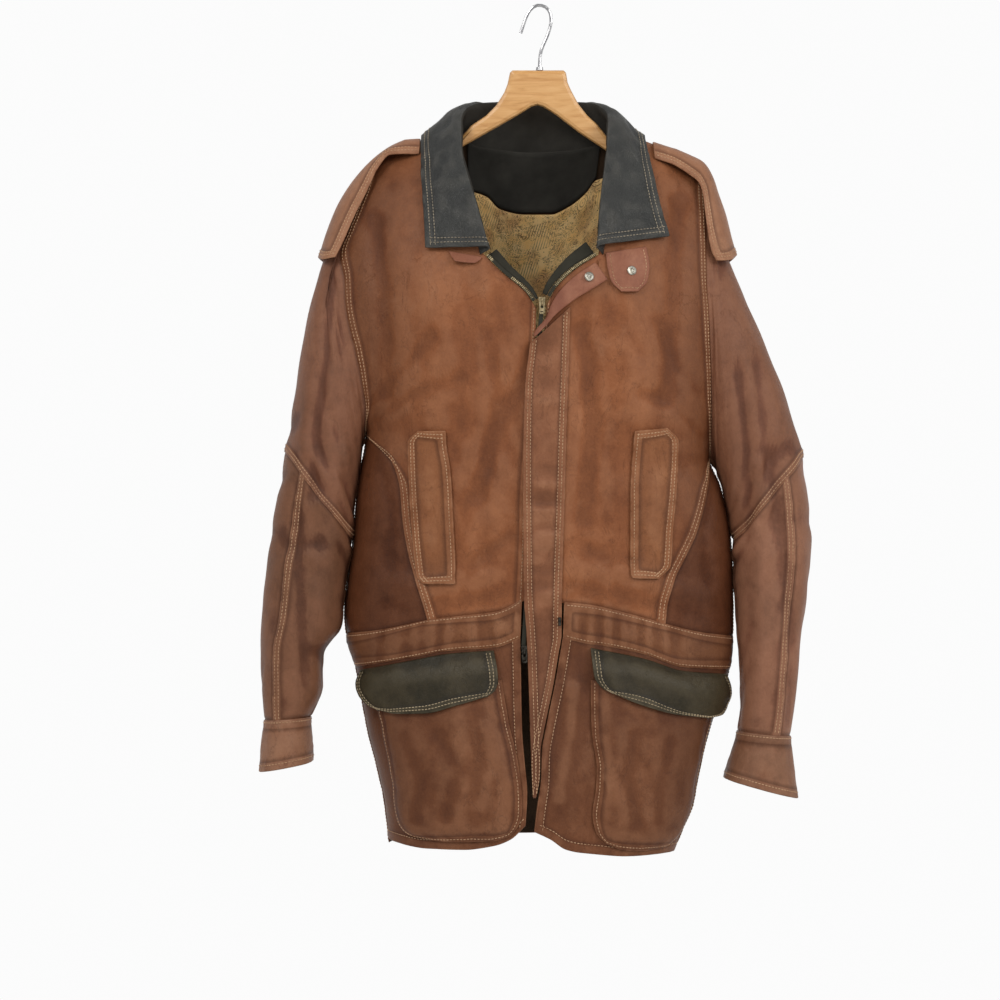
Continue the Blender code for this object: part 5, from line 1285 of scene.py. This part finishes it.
# The front, its side piece, and its share of the waistband and skirt
def dressFront(side):
    cut = sides[side]
    seamLine = cut["seam"]
    waistSide, waistFront = partAt(cut["waist"], cut["curved"][-1][0])
    columns, rows, armpit, neck, opened = (
        bodyGrid[key] for key in ("front", "rows", "armpit", "neck", "zip"))
    us = steps(columns, panel["perColumn"], (0.06, 0.32, 0.52))
    vs = steps(rows, panel["perRow"], (0.05,))
    shoulder = us[us <= neck] / neck
    x = seamLine[0][0] + (cut["neck"][0][0] - seamLine[0][0]) * shoulder
    top = np.concatenate([
        np.stack([x, ridgeAt(x)], axis=-1),
        trace(cut["neck"], 2, (us[(us > neck) & (us <= opened)] - neck) / (opened - neck)),
        trace(cut["zip"], 2, (us[us > opened] - opened) / (columns - opened))])
    outer = np.concatenate([
        np.stack(armhole(seamLine, math.pi * vs[vs <= armpit] / armpit), axis=-1),
        trace(cut["curved"], 2, (vs[vs > armpit] - armpit) / (rows - armpit))])
    middle = np.array(chain, float) + (cut["chain"], 0)
    middle[0] = cut["zip"][-1]
    middle[-1] = waistFront[-1]
    grid = patch(onBody(top), onLine(waistFront, us / columns), onBody(outer),
                 onLine(middle, vs / rows), us / columns, vs / rows)
    near = np.where(np.abs(vs - armpit) < 2)[0]      # the rows bend softly below the armpit
    for _ in range(16):
        grid[near, 3:-3] = (grid[near - 1, 3:-3] + 2 * grid[near, 3:-3]
                            + grid[near + 1, 3:-3]) / 4
    bodyCloth("front_" + side, grid, looks["body"],
              {"left": "over", "right": "hem", "bottom": "under"}, seed=1)

    # the side piece runs from the armpit to the waist behind the curved seam
    ws = steps(6, panel["perRow"], (0.05,))
    cs = steps(3, panel["perColumn"], (0.06,))
    place = np.where(ws < 1, 0.2 + 0.8 * ws, ws) / 6
    curved = onLine(cut["curved"], place)
    heights = curved[0, 1] + (waistSide[0][1] - curved[0, 1]) * ws / 6
    sideEdge = np.stack([np.full(len(ws), cut["edge"]), heights], axis=-1)
    low = onLine(waistSide, cs / 3)
    low[0] = sideEdge[-1]
    top = sideEdge[0] + (curved[0] - sideEdge[0]) * (cs / 3)[:, None]
    grid = patch(top, low, sideEdge, curved, cs / 3, ws / 6)
    # the side piece takes the darker leather that paints the shade under the arm
    bodyCloth("side_" + side, grid, looks["side"],
              {"left": "under", "right": "under", "top": "under", "bottom": "under"}, seed=2)

    # the waistband
    coarse = np.concatenate([onLine(waistSide, np.linspace(0, 1, 4)),
                             onLine(waistFront, np.linspace(0, 1, 13))[1:]])
    coarse[0, 0] = cut["edge"]
    last = 15
    if side == "right":
        last = int(np.sum(coarse[:, 0] > flyCover)) - 1
    ts = steps(last, panel["perColumn"] + 2, (0.06, 0.4))
    bandTop = np.concatenate([onLine(waistSide, ts[ts <= 3] / 3),
                              onLine(waistFront, (ts[ts > 3] - 3) / 12)])
    bandTop[0, 0] = cut["edge"]
    bandLow = onLine(cut["waistLow"], ts / last)
    bandLow[0, 0] = cut["edge"]
    dressBand("waistband_" + side, bandTop, bandLow,
              {"top": "over", "bottom": "over", "left": "under", "right": "hem"}, 3)

    # the skirt
    hem = onLine(cut["hem"], ts / last)
    hem[0, 0] = cut["edge"]
    ss = steps(8, 7, (0.06, 0.35))
    heights = bandLow[0, 1] + (hem[0, 1] - bandLow[0, 1]) * ss / 8
    sideEdge = np.stack([np.full(len(ss), cut["edge"]), heights], axis=-1)
    grid = patch(bandLow, hem, sideEdge, onLine(cut["skirtEdge"], ss / 8), ts / last, ss / 8)
    bodyCloth("skirt_front_" + side, grid, looks["skirt"],
              {"top": "under", "left": "under", "right": "hem", "bottom": "hem"}, seed=4)


def dressBack():
    columns, shoulder, rows, armpit = (
        bodyGrid[key] for key in ("back", "shoulder", "rows", "armpit"))
    far = columns - shoulder
    us = steps(columns, panel["perColumn"], (0.06, 0.35))
    vs = steps(rows, panel["perRow"], (0.05,))
    armLeft, armRight = (
        np.stack(armhole(line, math.pi * vs[vs <= armpit] / armpit), axis=-1)
        for line in (armholeLeft, armholeRight))
    a = us[us <= shoulder] / shoulder
    c = (us[us > far] - far) / shoulder
    xLeft = armLeft[0, 0] + (backNeckline[0][0] - armLeft[0, 0]) * a
    xRight = backNeckline[-1][0] + (armRight[0, 0] - backNeckline[-1][0]) * c
    top = np.concatenate([np.stack([xLeft, ridgeAt(xLeft)], axis=-1),
                          trace(backNeckline, 2,
                                (us[(us > shoulder) & (us <= far)] - shoulder) / (far - shoulder)),
                          np.stack([xRight, ridgeAt(xRight)], axis=-1)])
    top = onBody(top, True)
    edges = []
    for arm, turn in ((armLeft, math.pi + sideTurn), (armRight, math.pi - sideTurn)):
        upper = onBody(arm, True)
        upper[-1, 0] = turn
        share = ((vs[vs > armpit] - armpit) / (rows - armpit))[:, None]
        lower = upper[-1] + (np.array((turn, waistTopBackSide)) - upper[-1]) * share
        edges.append(np.concatenate([upper, lower]))
    turns = math.pi + sideTurn - 2 * sideTurn * us / columns
    dip = 1 - np.sin(turns) ** 2

    def across(sideHeight, middleHeight):
        return np.stack([turns, sideHeight + (middleHeight - sideHeight) * dip], axis=-1)
    low = across(waistTopBackSide, waistTopBack)
    grid = patch(top, low, edges[0], edges[1], us / columns, vs / rows)
    bodyCloth("back", grid, looks["body"], {"left": "over", "right": "over", "bottom": "under"},
              seed=5)
    bandLow = across(waistLowBackSide, waistLowBack)
    dressBand("waistband_back", low, bandLow, {"top": "over", "bottom": "over"}, 6)
    hem = across(hemBackSide, hemBack)
    ss = steps(8, 6, (0.06, 0.35))[:, None, None] / 8
    bodyCloth("skirt_back", (1 - ss) * bandLow[None] + ss * hem[None], looks["skirt"],
              {"top": "under", "left": "over", "right": "over", "bottom": "hem"}, seed=7)


# One length of a sleeve between two seams: turns count twelfths of half a round
def dressSleeve(name, side, first, last, start, end, roles, look, seed):
    vs = first + steps(last - first, 9, (0.03, 0.17, 0.2))
    turns = (start + steps(end - start, 3, (0.08, 0.6, 0.75))) * math.pi / 12
    place, turn = np.meshgrid(vs, turns, indexing="ij")
    points, out = sleeve(side, place, turn)
    rise = sleeveRise(side, place, turn)
    points = points + out * rise[..., None]
    if first == 0:
        seamOut = bodySurface(*armholePlace(side, turns))[1]
        share = np.clip(np.cos(turns), 0, 1)[:, None]
        near = np.clip(1 - vs / 0.3, 0, 1)[:, None, None]
        out = out * (1 - share[None] * near) + seamOut[None] * share[None] * near
        out = unit(out)
    makeCloth(name, points, out, panel["wall"], look, roles, seed=seed)


def dressCuff(side):
    vs = np.array([0, 0.04, 0.2, 0.28, 0.45, 0.65, 0.85, 1.05, 1.25, 1.45, 1.62, 1.72, 1.9,
                   1.97, 2.0])
    turns = np.arange(96) * 2 * math.pi / 96
    place, turn = np.meshgrid(vs, turns, indexing="ij")
    points = ringPoint(cuffRings[side], place, turn)
    middle = points.mean(axis=1, keepdims=True)
    out = points - middle
    out[..., 2] = 0
    out = unit(out)
    wave = softNoise(np.cos(turn) * 2.2 + 4, np.sin(turn) * 2.2 + place, 55)
    band = np.clip((0.24 - place) / 0.06, 0, 1) * 0.8 + np.clip((place - 1.64) / 0.08, 0, 1) * 0.5
    flare = np.clip(place / 2, 0, 1) * wave * 1.6
    points = points + out * (band + flare + 0.4 * softNoise(turn * 9, place * 5, 57))[..., None]
    makeCloth("cuff_" + side, points, out, panel["cuffWall"], looks["cuff"], ring=True)


# Pieces of a sleeve: rings, twelfths of half a round, and the top, left, right and low edges
sleeveCuts = [
    ("sleeve_top_", 0, 7, -3, 12, ("under", "over", "over", "over")),
    ("sleeve_under_", 0, 7, 12, 21, ("under", "under", "under", "over")),
    ("forearm_front_", 7, 13, 4, 12, ("under", "over", "over", "under")),
    ("forearm_back_", 7, 13, 12, 28, ("under", "under", "under", "under")),
]


def dressSleeves():
    for side, seed in (("left", 11), ("right", 15)):
        for n, (name, first, last, start, end, edges) in enumerate(sleeveCuts):
            look = looks["forearm_" + side] if first else looks["arm"]
            dressSleeve(name + side, side, first, last, start, end,
                        dict(zip(("top", "left", "right", "bottom"), edges)), look, seed + n)
        dressCuff(side)


def dressCollar():
    shares = steps(1, 150, (0.002, 0.012, 0.016))
    levels = np.concatenate([np.linspace(0, 0.9, 13), np.linspace(0.93, 1.2, 14),
                             np.linspace(1.25, 1.86, 12), [1.885, 1.9, 1.93, 1.96, 1.98, 2.0]])
    points = collarSurface(shares, levels)
    out = gridDirections(points)
    if out[-1, len(shares) // 2, 1] < 0:
        out = -out
    along = shares[None, :] * 620
    down = levels[:, None] * 55
    fade = np.clip((levels[:, None] - 0.25) / 0.4, 0, 1)
    rise = 1.7 * softNoise(along / 40, down / 26, 41) + 0.85 * softNoise(along / 12, down / 10, 42)
    points = points + out * (rise * fade)[..., None]
    makeCloth("collar", points, out, panel["collarWall"], looks["collar"],
              {"bottom": "hem", "left": "hem", "right": "hem"}, seed=40)
    piece = bpy.data.objects["collar_dressed"]
    piece.data.materials.append(looks["black"])
    facing = np.zeros(len(piece.data.polygons), np.int32)
    facing[:12 * (len(shares) - 1)] = 1      # the stand, which the neck rests against
    piece.data.polygons.foreach_set("material_index", facing)


# A piece that lies on the body over a gap
def layer(name, grid, wall, look, lift=0.0, roles=None, seed=0, crease=None):
    lift = np.broadcast_to(panel["layerGap"] + wall + lift, grid.shape[:2])
    points, out = bodySurface(grid[..., 0], grid[..., 1], lift)
    makeCloth(name, points, out, wall, look, roles, seed=seed, crease=crease)


def between(left, right, down, across, back=False):
    a = onLine(left, down, back)[:, None]
    b = onLine(right, down, back)[:, None]
    return a + (b - a) * across[None, :, None]


fly = {
    "wall": 1.8,
    "lift": 4.5,
    "rows": 190,
    "room": 1.7,        # how far it gives way to the lower zip pull when that swings up
    "pullAt": -766,
}


def dressFly():
    down = steps(1, fly["rows"], (0.002,))
    across = np.array([0, 0.04, 0.12, 0.2, 0.24, 0.3, 0.4, 0.5, 0.6, 0.7, 0.76, 0.82, 0.88,
                       0.96, 1.0])
    grid = between(flyLeft, flyRight, down, across)
    z = grid[..., 1]
    free = np.clip((z + 900) / 150, 0.15, 1)
    puckers = np.exp(-((z + 640) / 110) ** 2) * np.sin(math.pi * across)[None, :]
    ripple = 3.0 * puckers * softNoise(across[None, :] * 1.5, z / 10.0, 60)
    ripple += 1.2 * np.sin(math.pi * across)[None, :] * softNoise(across[None, :] * 2, z / 24, 61)
    ripple -= fly["room"] * np.exp(-((z - fly["pullAt"]) / 26) ** 2) * (1 - across)[None, :]
    layer("fly_flap", grid, fly["wall"], looks["fly"], crease=np.clip(ripple * 0.9, -1, 1),
          lift=fly["lift"] * (1 - across)[None, :] * free + ripple,
          roles={"left": "hem", "right": "hem"}, seed=60)
    down = steps(1, 30, (0.02,))
    across = np.linspace(0, 1, 10)
    grid = between(turnbackFold, turnbackEdge, down, across)
    rise = np.interp(across, (0, 1 / 3, 2 / 3, 1), (0.04, 0.4, 0.75, 1.0))[None, :]
    layer("fly_turned_back", grid, 1.8, looks["inner"],
          lift=fly["lift"] * rise * (0.6 + 0.4 * down[:, None]), seed=62)


def dressTabs():
    down = steps(1, 22, (0.02,))
    across = steps(1, 20, (0.03,))
    free = down[:, None] * np.ones(len(across))
    layer("throat_tab", between(*throatTab, down, across), 2.0, looks["inner"],
          lift=3.0 * free, seed=63)
    layer("collar_tab", between(*collarTab, down, across), 1.8, looks["inner"],
          lift=6.0 * free * (1.2 - across)[None, :], seed=64)


def dressWelts():
    down = steps(1, 46, (0.006, 0.045))
    across = steps(1, 14, (0.02, 0.2))
    for side, lines in welts.items():
        grid = between(*lines, down, across)
        bow = np.sin(math.pi * across)[None, :] * np.ones((len(down), 1))
        loose = 0.7 * softNoise(across[None, :] * 2, down[:, None] * 6, 70) * bow
        layer("chest_welt_" + side, grid, 2.2, looks["trim"], lift=0.3 + bow * 1.2 + loose,
              roles={"left": "hem", "right": "hem", "top": "hem", "bottom": "hem"}, seed=70)


bag = {"bulge": 7.0, "flapWall": 2.2, "flapRise": 10.0}


def dressPockets():
    for side in sides:
        top, bottom, left, right = bags[side]
        across = steps(1, 44, (0.006, 0.03))
        down = steps(1, 52, (0.006, 0.03))
        edge = np.sin(np.minimum(across, 1 - across).clip(0, 0.13) / 0.13 * math.pi / 2)
        low = np.sin(np.minimum(1 - down, 0.13) / 0.13 * math.pi / 2)
        grid = coonsGrid(top, bottom, left, right, across, down)
        sag = 1.6 * softNoise(across[None, :] * 2.6, down[:, None] * 3.4, 80)
        near = np.minimum(np.minimum(across, 1 - across)[None, :] * 7, (1 - down)[:, None] * 8)
        pucker = 0.6 * softNoise(across[None, :] * 26, down[:, None] * 26, 81)
        pucker = pucker * np.exp(-(near / 0.8) ** 2)
        full = low[:, None] * edge[None, :]
        layer("pocket_bag_" + side, grid, panel["wall"], looks["skirt"],
              lift=bag["bulge"] * full + sag * full + pucker,
              roles={"left": "hem", "right": "hem", "bottom": "hem"}, seed=80)
        top, bottom, left, right = flaps[side]
        down = steps(1, 20, (0.015, 0.1))
        across = steps(1, 46, (0.006, 0.05))
        grid = coonsGrid(top, bottom, left, right, across, down)
        rise = np.sin(np.minimum(down, 0.42) / 0.42 * math.pi / 2)[:, None]
        wave = 0.9 * softNoise(across[None, :] * 4, down[:, None] * 2, 84) * rise
        layer("pocket_flap_" + side, grid, bag["flapWall"], looks["flap"],
              lift=bag["flapRise"] * rise * np.ones(len(across)) + wave,
              roles={"left": "hem", "right": "hem", "bottom": "hem"}, seed=84)


def beside(points, distance):
    points = trace(points, 6)
    run = unit(np.gradient(points, axis=0))
    return points + np.stack([-run[:, 1], run[:, 0]], axis=-1) * np.reshape(distance, (-1, 1))


# The line of one edge of the zip where it is open
def openZip(side):
    return trace(sides[side]["zip"], 6, np.linspace(0.06, 0.9, 7))


def dressInside():
    across = steps(1, 70)
    grid = np.swapaxes(between(neckFacingTop, neckFacingLow, across, steps(1, 14), True), 0, 1)
    points, out = bodySurface(grid[..., 0], grid[..., 1], -3.2)
    makeCloth("neck_facing", points, out, panel["liningWall"], looks["black"])
    low = [(x, liningLow) for x in (liningTop[0][0], 0, liningTop[-1][0])]
    grid = np.swapaxes(between(liningTop, low, across, steps(1, 44), True), 0, 1)
    points, out = bodySurface(grid[..., 0], grid[..., 1], -4.6)
    makeCloth("lining", points, out, panel["liningWall"], looks["lining"])
    for side, turn, wide, narrow in (("left", 1, 16, 9), ("right", -1, 22, 11)):
        line = openZip(side)
        a = onLine(beside(line, turn * 5.6), np.linspace(0, 1, 31))[:, None]
        b = onLine(beside(line, turn * np.linspace(wide, narrow, 7)),
                   np.linspace(0, 1, 31))[:, None]
        across = np.linspace(0, 1, 7)[None, :, None]
        grid = a + (b - a) * across
        sink = -0.6 - 5.0 * np.linspace(0, 1, 7)[None, :] * np.ones((31, 1))
        points, out = bodySurface(grid[..., 0], grid[..., 1], sink)
        makeCloth("zip_facing_" + side, points, out, panel["liningWall"], looks["tape"])


strap = {"wall": 2.0, "lift": 3.2, "sink": 5.2, "tip": 11.0}


def dressStraps():
    for side, stations in straps.items():
        keys = np.linspace(0, 1, len(stations))
        data = np.array([[*crest, *edge] for crest, edge in stations], float)
        rows = steps(1, 56, (0.01, 0.05))
        crestX, crestZ, edgeX, edgeZ, edgeY = (
            smooth(keys, column)(rows)[:, None] for column in data.T)
        turn = (steps(1, 26, (0.015, 0.1)) * 2 - 1)[None, :] * math.pi / 2
        dip = 1 - np.cos(turn)
        behind = np.where(turn > 0, 0.82, 1.0)
        tip = strap["tip"] * np.sin(2 * np.maximum(np.abs(turn), math.pi / 4))
        tip = (tip * rows[:, None] ** 6)[..., None]
        grid = np.stack([crestX + (edgeX - crestX) * dip, -edgeY * np.sin(turn) * behind,
                         crestZ + (edgeZ - crestZ) * dip], axis=-1)
        run = np.gradient(grid, axis=0)
        grid = grid + tip * run / np.linalg.norm(run, axis=-1, keepdims=True)
        out = gridDirections(grid)
        if out[len(rows) // 3, out.shape[1] // 2, 2] < 0:
            out = -out
        sewn = np.clip(1 - rows / 0.16, 0, 1)[:, None, None]
        loose = 0.5 * softNoise(rows[:, None] * 7, turn * 1.6, 90)[..., None]
        points = grid + out * (strap["lift"] - strap["sink"] * sewn + loose)
        makeCloth("shoulder_strap_" + side, points, out, strap["wall"], looks["strap"],
                  {"left": "hem", "right": "hem", "bottom": "hem"}, seed=90)


for side in sides:
    dressFront(side)
print("fronts, sides, waistband and skirt")
dressBack()
print("back")
dressSleeves()
print("sleeves and cuffs")
dressCollar()
dressFly()
dressTabs()
dressWelts()
dressPockets()
dressInside()
dressStraps()
print("collar, fly, pockets, straps and lining")

# Sewing
seamRows = (2.4, 7.4)
for side in sides:
    sewEdge("body", "front_" + side, "left", seamRows)
    sewEdge("body", "front_" + side, "right", (3.0,))
    sewEdge("body", "waistband_" + side, "top", (2.0,))
    sewEdge("body", "waistband_" + side, "bottom", (2.0,))
    sewEdge("skirt", "skirt_front_" + side, "right", (8.5,))
    sewEdge("skirt", "skirt_front_" + side, "bottom", (9.0,))
    for name in ("sleeve_top_", "sleeve_under_"):
        sewEdge("sleeve_" + side, name + side, "bottom", seamRows)
    sewEdge("sleeve_" + side, "sleeve_top_" + side, "left", seamRows)
    sewEdge("sleeve_" + side, "forearm_front_" + side, "left", seamRows)
    sewEdge("sleeve_" + side, "cuff_" + side, "top", (1.0,))
    sewEdge("sleeve_" + side, "cuff_" + side, "bottom", (5.0,))
    for edge in ("left", "right", "top", "bottom"):
        if (side, edge) not in (("left", "right"), ("right", "left")):
            sewEdge("pockets", "chest_welt_" + side, edge, (2.6, 7.0))
        else:
            sewEdge("pockets", "chest_welt_" + side, edge, (2.6,))
    for edge in ("left", "right", "bottom"):
        sewEdge("pockets", "pocket_bag_" + side, edge, (3.2,))
        sewEdge("flaps", "pocket_flap_" + side, edge, (3.0, 7.4))
        sewEdge("straps", "shoulder_strap_" + side, edge, (3.0, 7.0))
for edge in ("left", "right"):
    sewEdge("back", "back", edge, seamRows)
    sewEdge("back", "skirt_back", edge, seamRows)
sewEdge("back", "waistband_back", "top", (2.0,))
sewEdge("back", "waistband_back", "bottom", (2.0,))
sewEdge("back", "skirt_back", "bottom", (9.0,))
for edge in ("left", "right"):
    sewEdge("fly", "fly_flap", edge, (3.4, 8.4))
    sewEdge("fly", "throat_tab", edge, (3.0,))
    sewEdge("collar", "collar", edge, (4.6, 10.4))
sewEdge("fly", "throat_tab", "bottom", (3.0,))
sewEdge("collar", "collar", "bottom", (4.6, 10.4))

# A stitch is a low rounded bar, pulled down at both ends
stitchShape = []
stitchFaces = []
stitchRings = ((-0.5, 0.25), (-0.32, 0.85), (0.0, 1.0), (0.32, 0.85), (0.5, 0.25))
for along, size in stitchRings:
    sink = 0.28 if abs(along) > 0.4 else 0.0
    for turn in range(stitch["sides"]):
        angle = turn * 2 * math.pi / stitch["sides"]
        stitchShape.append((along * stitch["long"], math.cos(angle) * stitch["wide"] / 2 * size,
                            math.sin(angle) * stitch["high"] * size + 0.1 - sink))
last = (len(stitchRings) - 1) * stitch["sides"]
for first in range(0, last, stitch["sides"]):
    for turn in range(stitch["sides"]):
        nextTurn = (turn + 1) % stitch["sides"]
        stitchFaces.append((first + turn, first + nextTurn, first + stitch["sides"] + nextTurn,
                            first + stitch["sides"] + turn))
stitchFaces.append(tuple(range(stitch["sides"]))[::-1])
stitchFaces.append(tuple(range(last, last + stitch["sides"])))
threads = {"collar": "darkThread", "flaps": "paleThread"}
for region, places in stitchPlaces.items():
    copies("stitches_" + region, stitchShape, stitchFaces, places,
           looks[threads.get(region, "thread")])
print("sewn", sum(len(p[0]) for places in stitchPlaces.values() for p in places), "stitches")


# Zip teeth: one tooth shaped, then copied along both edges and the closed chain
zipTooth = {
    "pitch": 2.1,
    "long": 1.25,
    "wide": 3.0,
    "high": 1.5,
    "beside": 2.6,       # from the edge of the leather, where the zip is open
    "lift": 2.3,
    "chainLift": 1.2,
}


def toothShape():
    bpy.ops.object.select_all(action="DESELECT")
    bpy.ops.mesh.primitive_cube_add(size=1, location=(0, 0, 0))
    tooth = bpy.context.object
    bpy.ops.object.mode_set(mode="EDIT")
    form = bmesh.from_edit_mesh(tooth.data)
    for face in form.faces:
        face.select_set(face.normal.y > 0.9)
    bmesh.update_edit_mesh(tooth.data)
    bpy.ops.mesh.inset(thickness=0.12, depth=0.0)
    bpy.ops.mesh.extrude_region_move(TRANSFORM_OT_translate={"value": (0, 0.22, 0)})
    bpy.ops.transform.resize(value=(0.7, 1, 0.7))
    bpy.ops.mesh.select_all(action="SELECT")
    bpy.ops.transform.resize(value=(zipTooth["long"], zipTooth["wide"], zipTooth["high"]))
    bpy.ops.object.mode_set(mode="OBJECT")
    shape = [tuple(v.co) for v in tooth.data.vertices]
    faces = [tuple(p.vertices) for p in tooth.data.polygons]
    bpy.data.objects.remove(tooth)
    return shape, faces


# Places of the teeth along a line, and the ways that they run and stand
def toothPlaces(line, count, lift):
    path = onLine(line, np.linspace(0, 1, count))
    points, out = bodySurface(path[:, 0], path[:, 1], lift)
    run = runOf(points)
    where = np.arange(0, run[-1], zipTooth["pitch"])
    place = sampled(where, run, points)
    return place, np.gradient(place, axis=0), sampled(where, run, out)


tooth, toothFaces = toothShape()
bpy.ops.object.select_all(action="DESELECT")
closed = np.array(chain, float)
closed[0] += (0, 4.4)
closed[-1] += (0, 1.6)
teeth = {"chain": [toothPlaces(closed, 300, zipTooth["chainLift"])]}
for side, turn in (("left", 1), ("right", -1)):
    teeth[side] = [toothPlaces(beside(openZip(side), turn * zipTooth["beside"]), 60,
                               zipTooth["lift"])]
for key, slot in (("left", "zip_teeth_left"), ("right", "zip_teeth_right"),
                  ("chain", "zip_chain")):
    piece = copies("teeth_" + key, tooth, toothFaces, teeth[key], looks["brass"])
    piece.data.shade_flat()
print("zip teeth")

# Floor, light and camera
bpy.ops.object.select_all(action="DESELECT")
bpy.ops.mesh.primitive_circle_add(vertices=96, radius=2.2, fill_type="NGON",
                                  location=(0, 0, -1.75))
floor = bpy.context.object
floor.name = "floor"
floorLook, floorStart, floorShader = newLook("pale_floor")
floorWhere = floorStart.add("ShaderNodeTexCoord", out=3)
floorTone = mixed(floorStart, spreadOf(floorStart, noise(floorStart, floorWhere, 3.0), 0.3, 0.7),
                  (0.84, 0.83, 0.81, 1.0), (0.88, 0.87, 0.855, 1.0))
setShader(floorLook, floorShader, {"Base Color": floorTone, "Roughness": 0.75})
floor.data.materials.append(floorLook)

world = bpy.data.worlds.new("studio")
bpy.context.scene.world = world
world.use_nodes = True
sky = Socket(world.node_tree)
towards = sky.add("ShaderNodeSeparateXYZ", None, {0: sky.add("ShaderNodeTexCoord", out=0)}, out=1)
wide = sky.add("ShaderNodeMapRange", {"clamp": True, "interpolation_type": "SMOOTHSTEP"},
               {"Value": towards, "From Min": -0.2, "From Max": 0.6, "To Min": 0.40,
                "To Max": 0.60})
behind = sky.add("ShaderNodeMapRange", {"clamp": True, "interpolation_type": "SMOOTHSTEP"},
                 {"Value": towards, "From Min": 0.88, "From Max": 0.97, "To Min": 0.0,
                  "To Max": 0.37})
glow = wide + behind
world.node_tree.nodes["Background"].inputs["Color"].default_value = (1.0, 1.0, 1.0, 1.0)
world.node_tree.links.new(glow.socket, world.node_tree.nodes["Background"].inputs["Strength"])


def softLight(name, place, target, size, power, colour):
    data = bpy.data.lights.new(name, "AREA")
    data.shape = "RECTANGLE"
    data.size, data.size_y = size
    data.energy = power
    data.color = colour
    light = bpy.data.objects.new(name, data)
    light.location = place
    light.rotation_euler = (Vector(target) - Vector(place)).to_track_quat("-Z", "Y").to_euler()
    bpy.context.scene.collection.objects.link(light)


softLight("key", (-1.7, -2.5, 1.7), (0, 0, -0.5), (1.2, 1.2), 33, (1.0, 0.985, 0.96))
softLight("fill", (2.3, -2.2, 0.9), (0, 0, -0.55), (1.5, 1.5), 32, (1.0, 0.99, 0.97))
softLight("front", (-0.05, -4.4, 1.2), (0, 0, -0.45), (0.9, 0.9), 16, (1.0, 0.99, 0.97))

view = bpy.data.cameras.new("camera")
view.lens = 150
view.sensor_width = 36
view.clip_end = 50
camera = bpy.data.objects.new("camera", view)
camera.location = (-0.048, -5.05, -0.5976)
camera.rotation_euler = (math.radians(90), 0, 0)
bpy.context.scene.collection.objects.link(camera)
bpy.context.scene.camera = camera
bpy.context.scene.view_settings.view_transform = "Standard"

for fact in sheetFacts:
    print("sheet", fact[0], *[round(v, 4) for v in fact[1:]])
bpy.context.view_layer.update()
print("finishing")
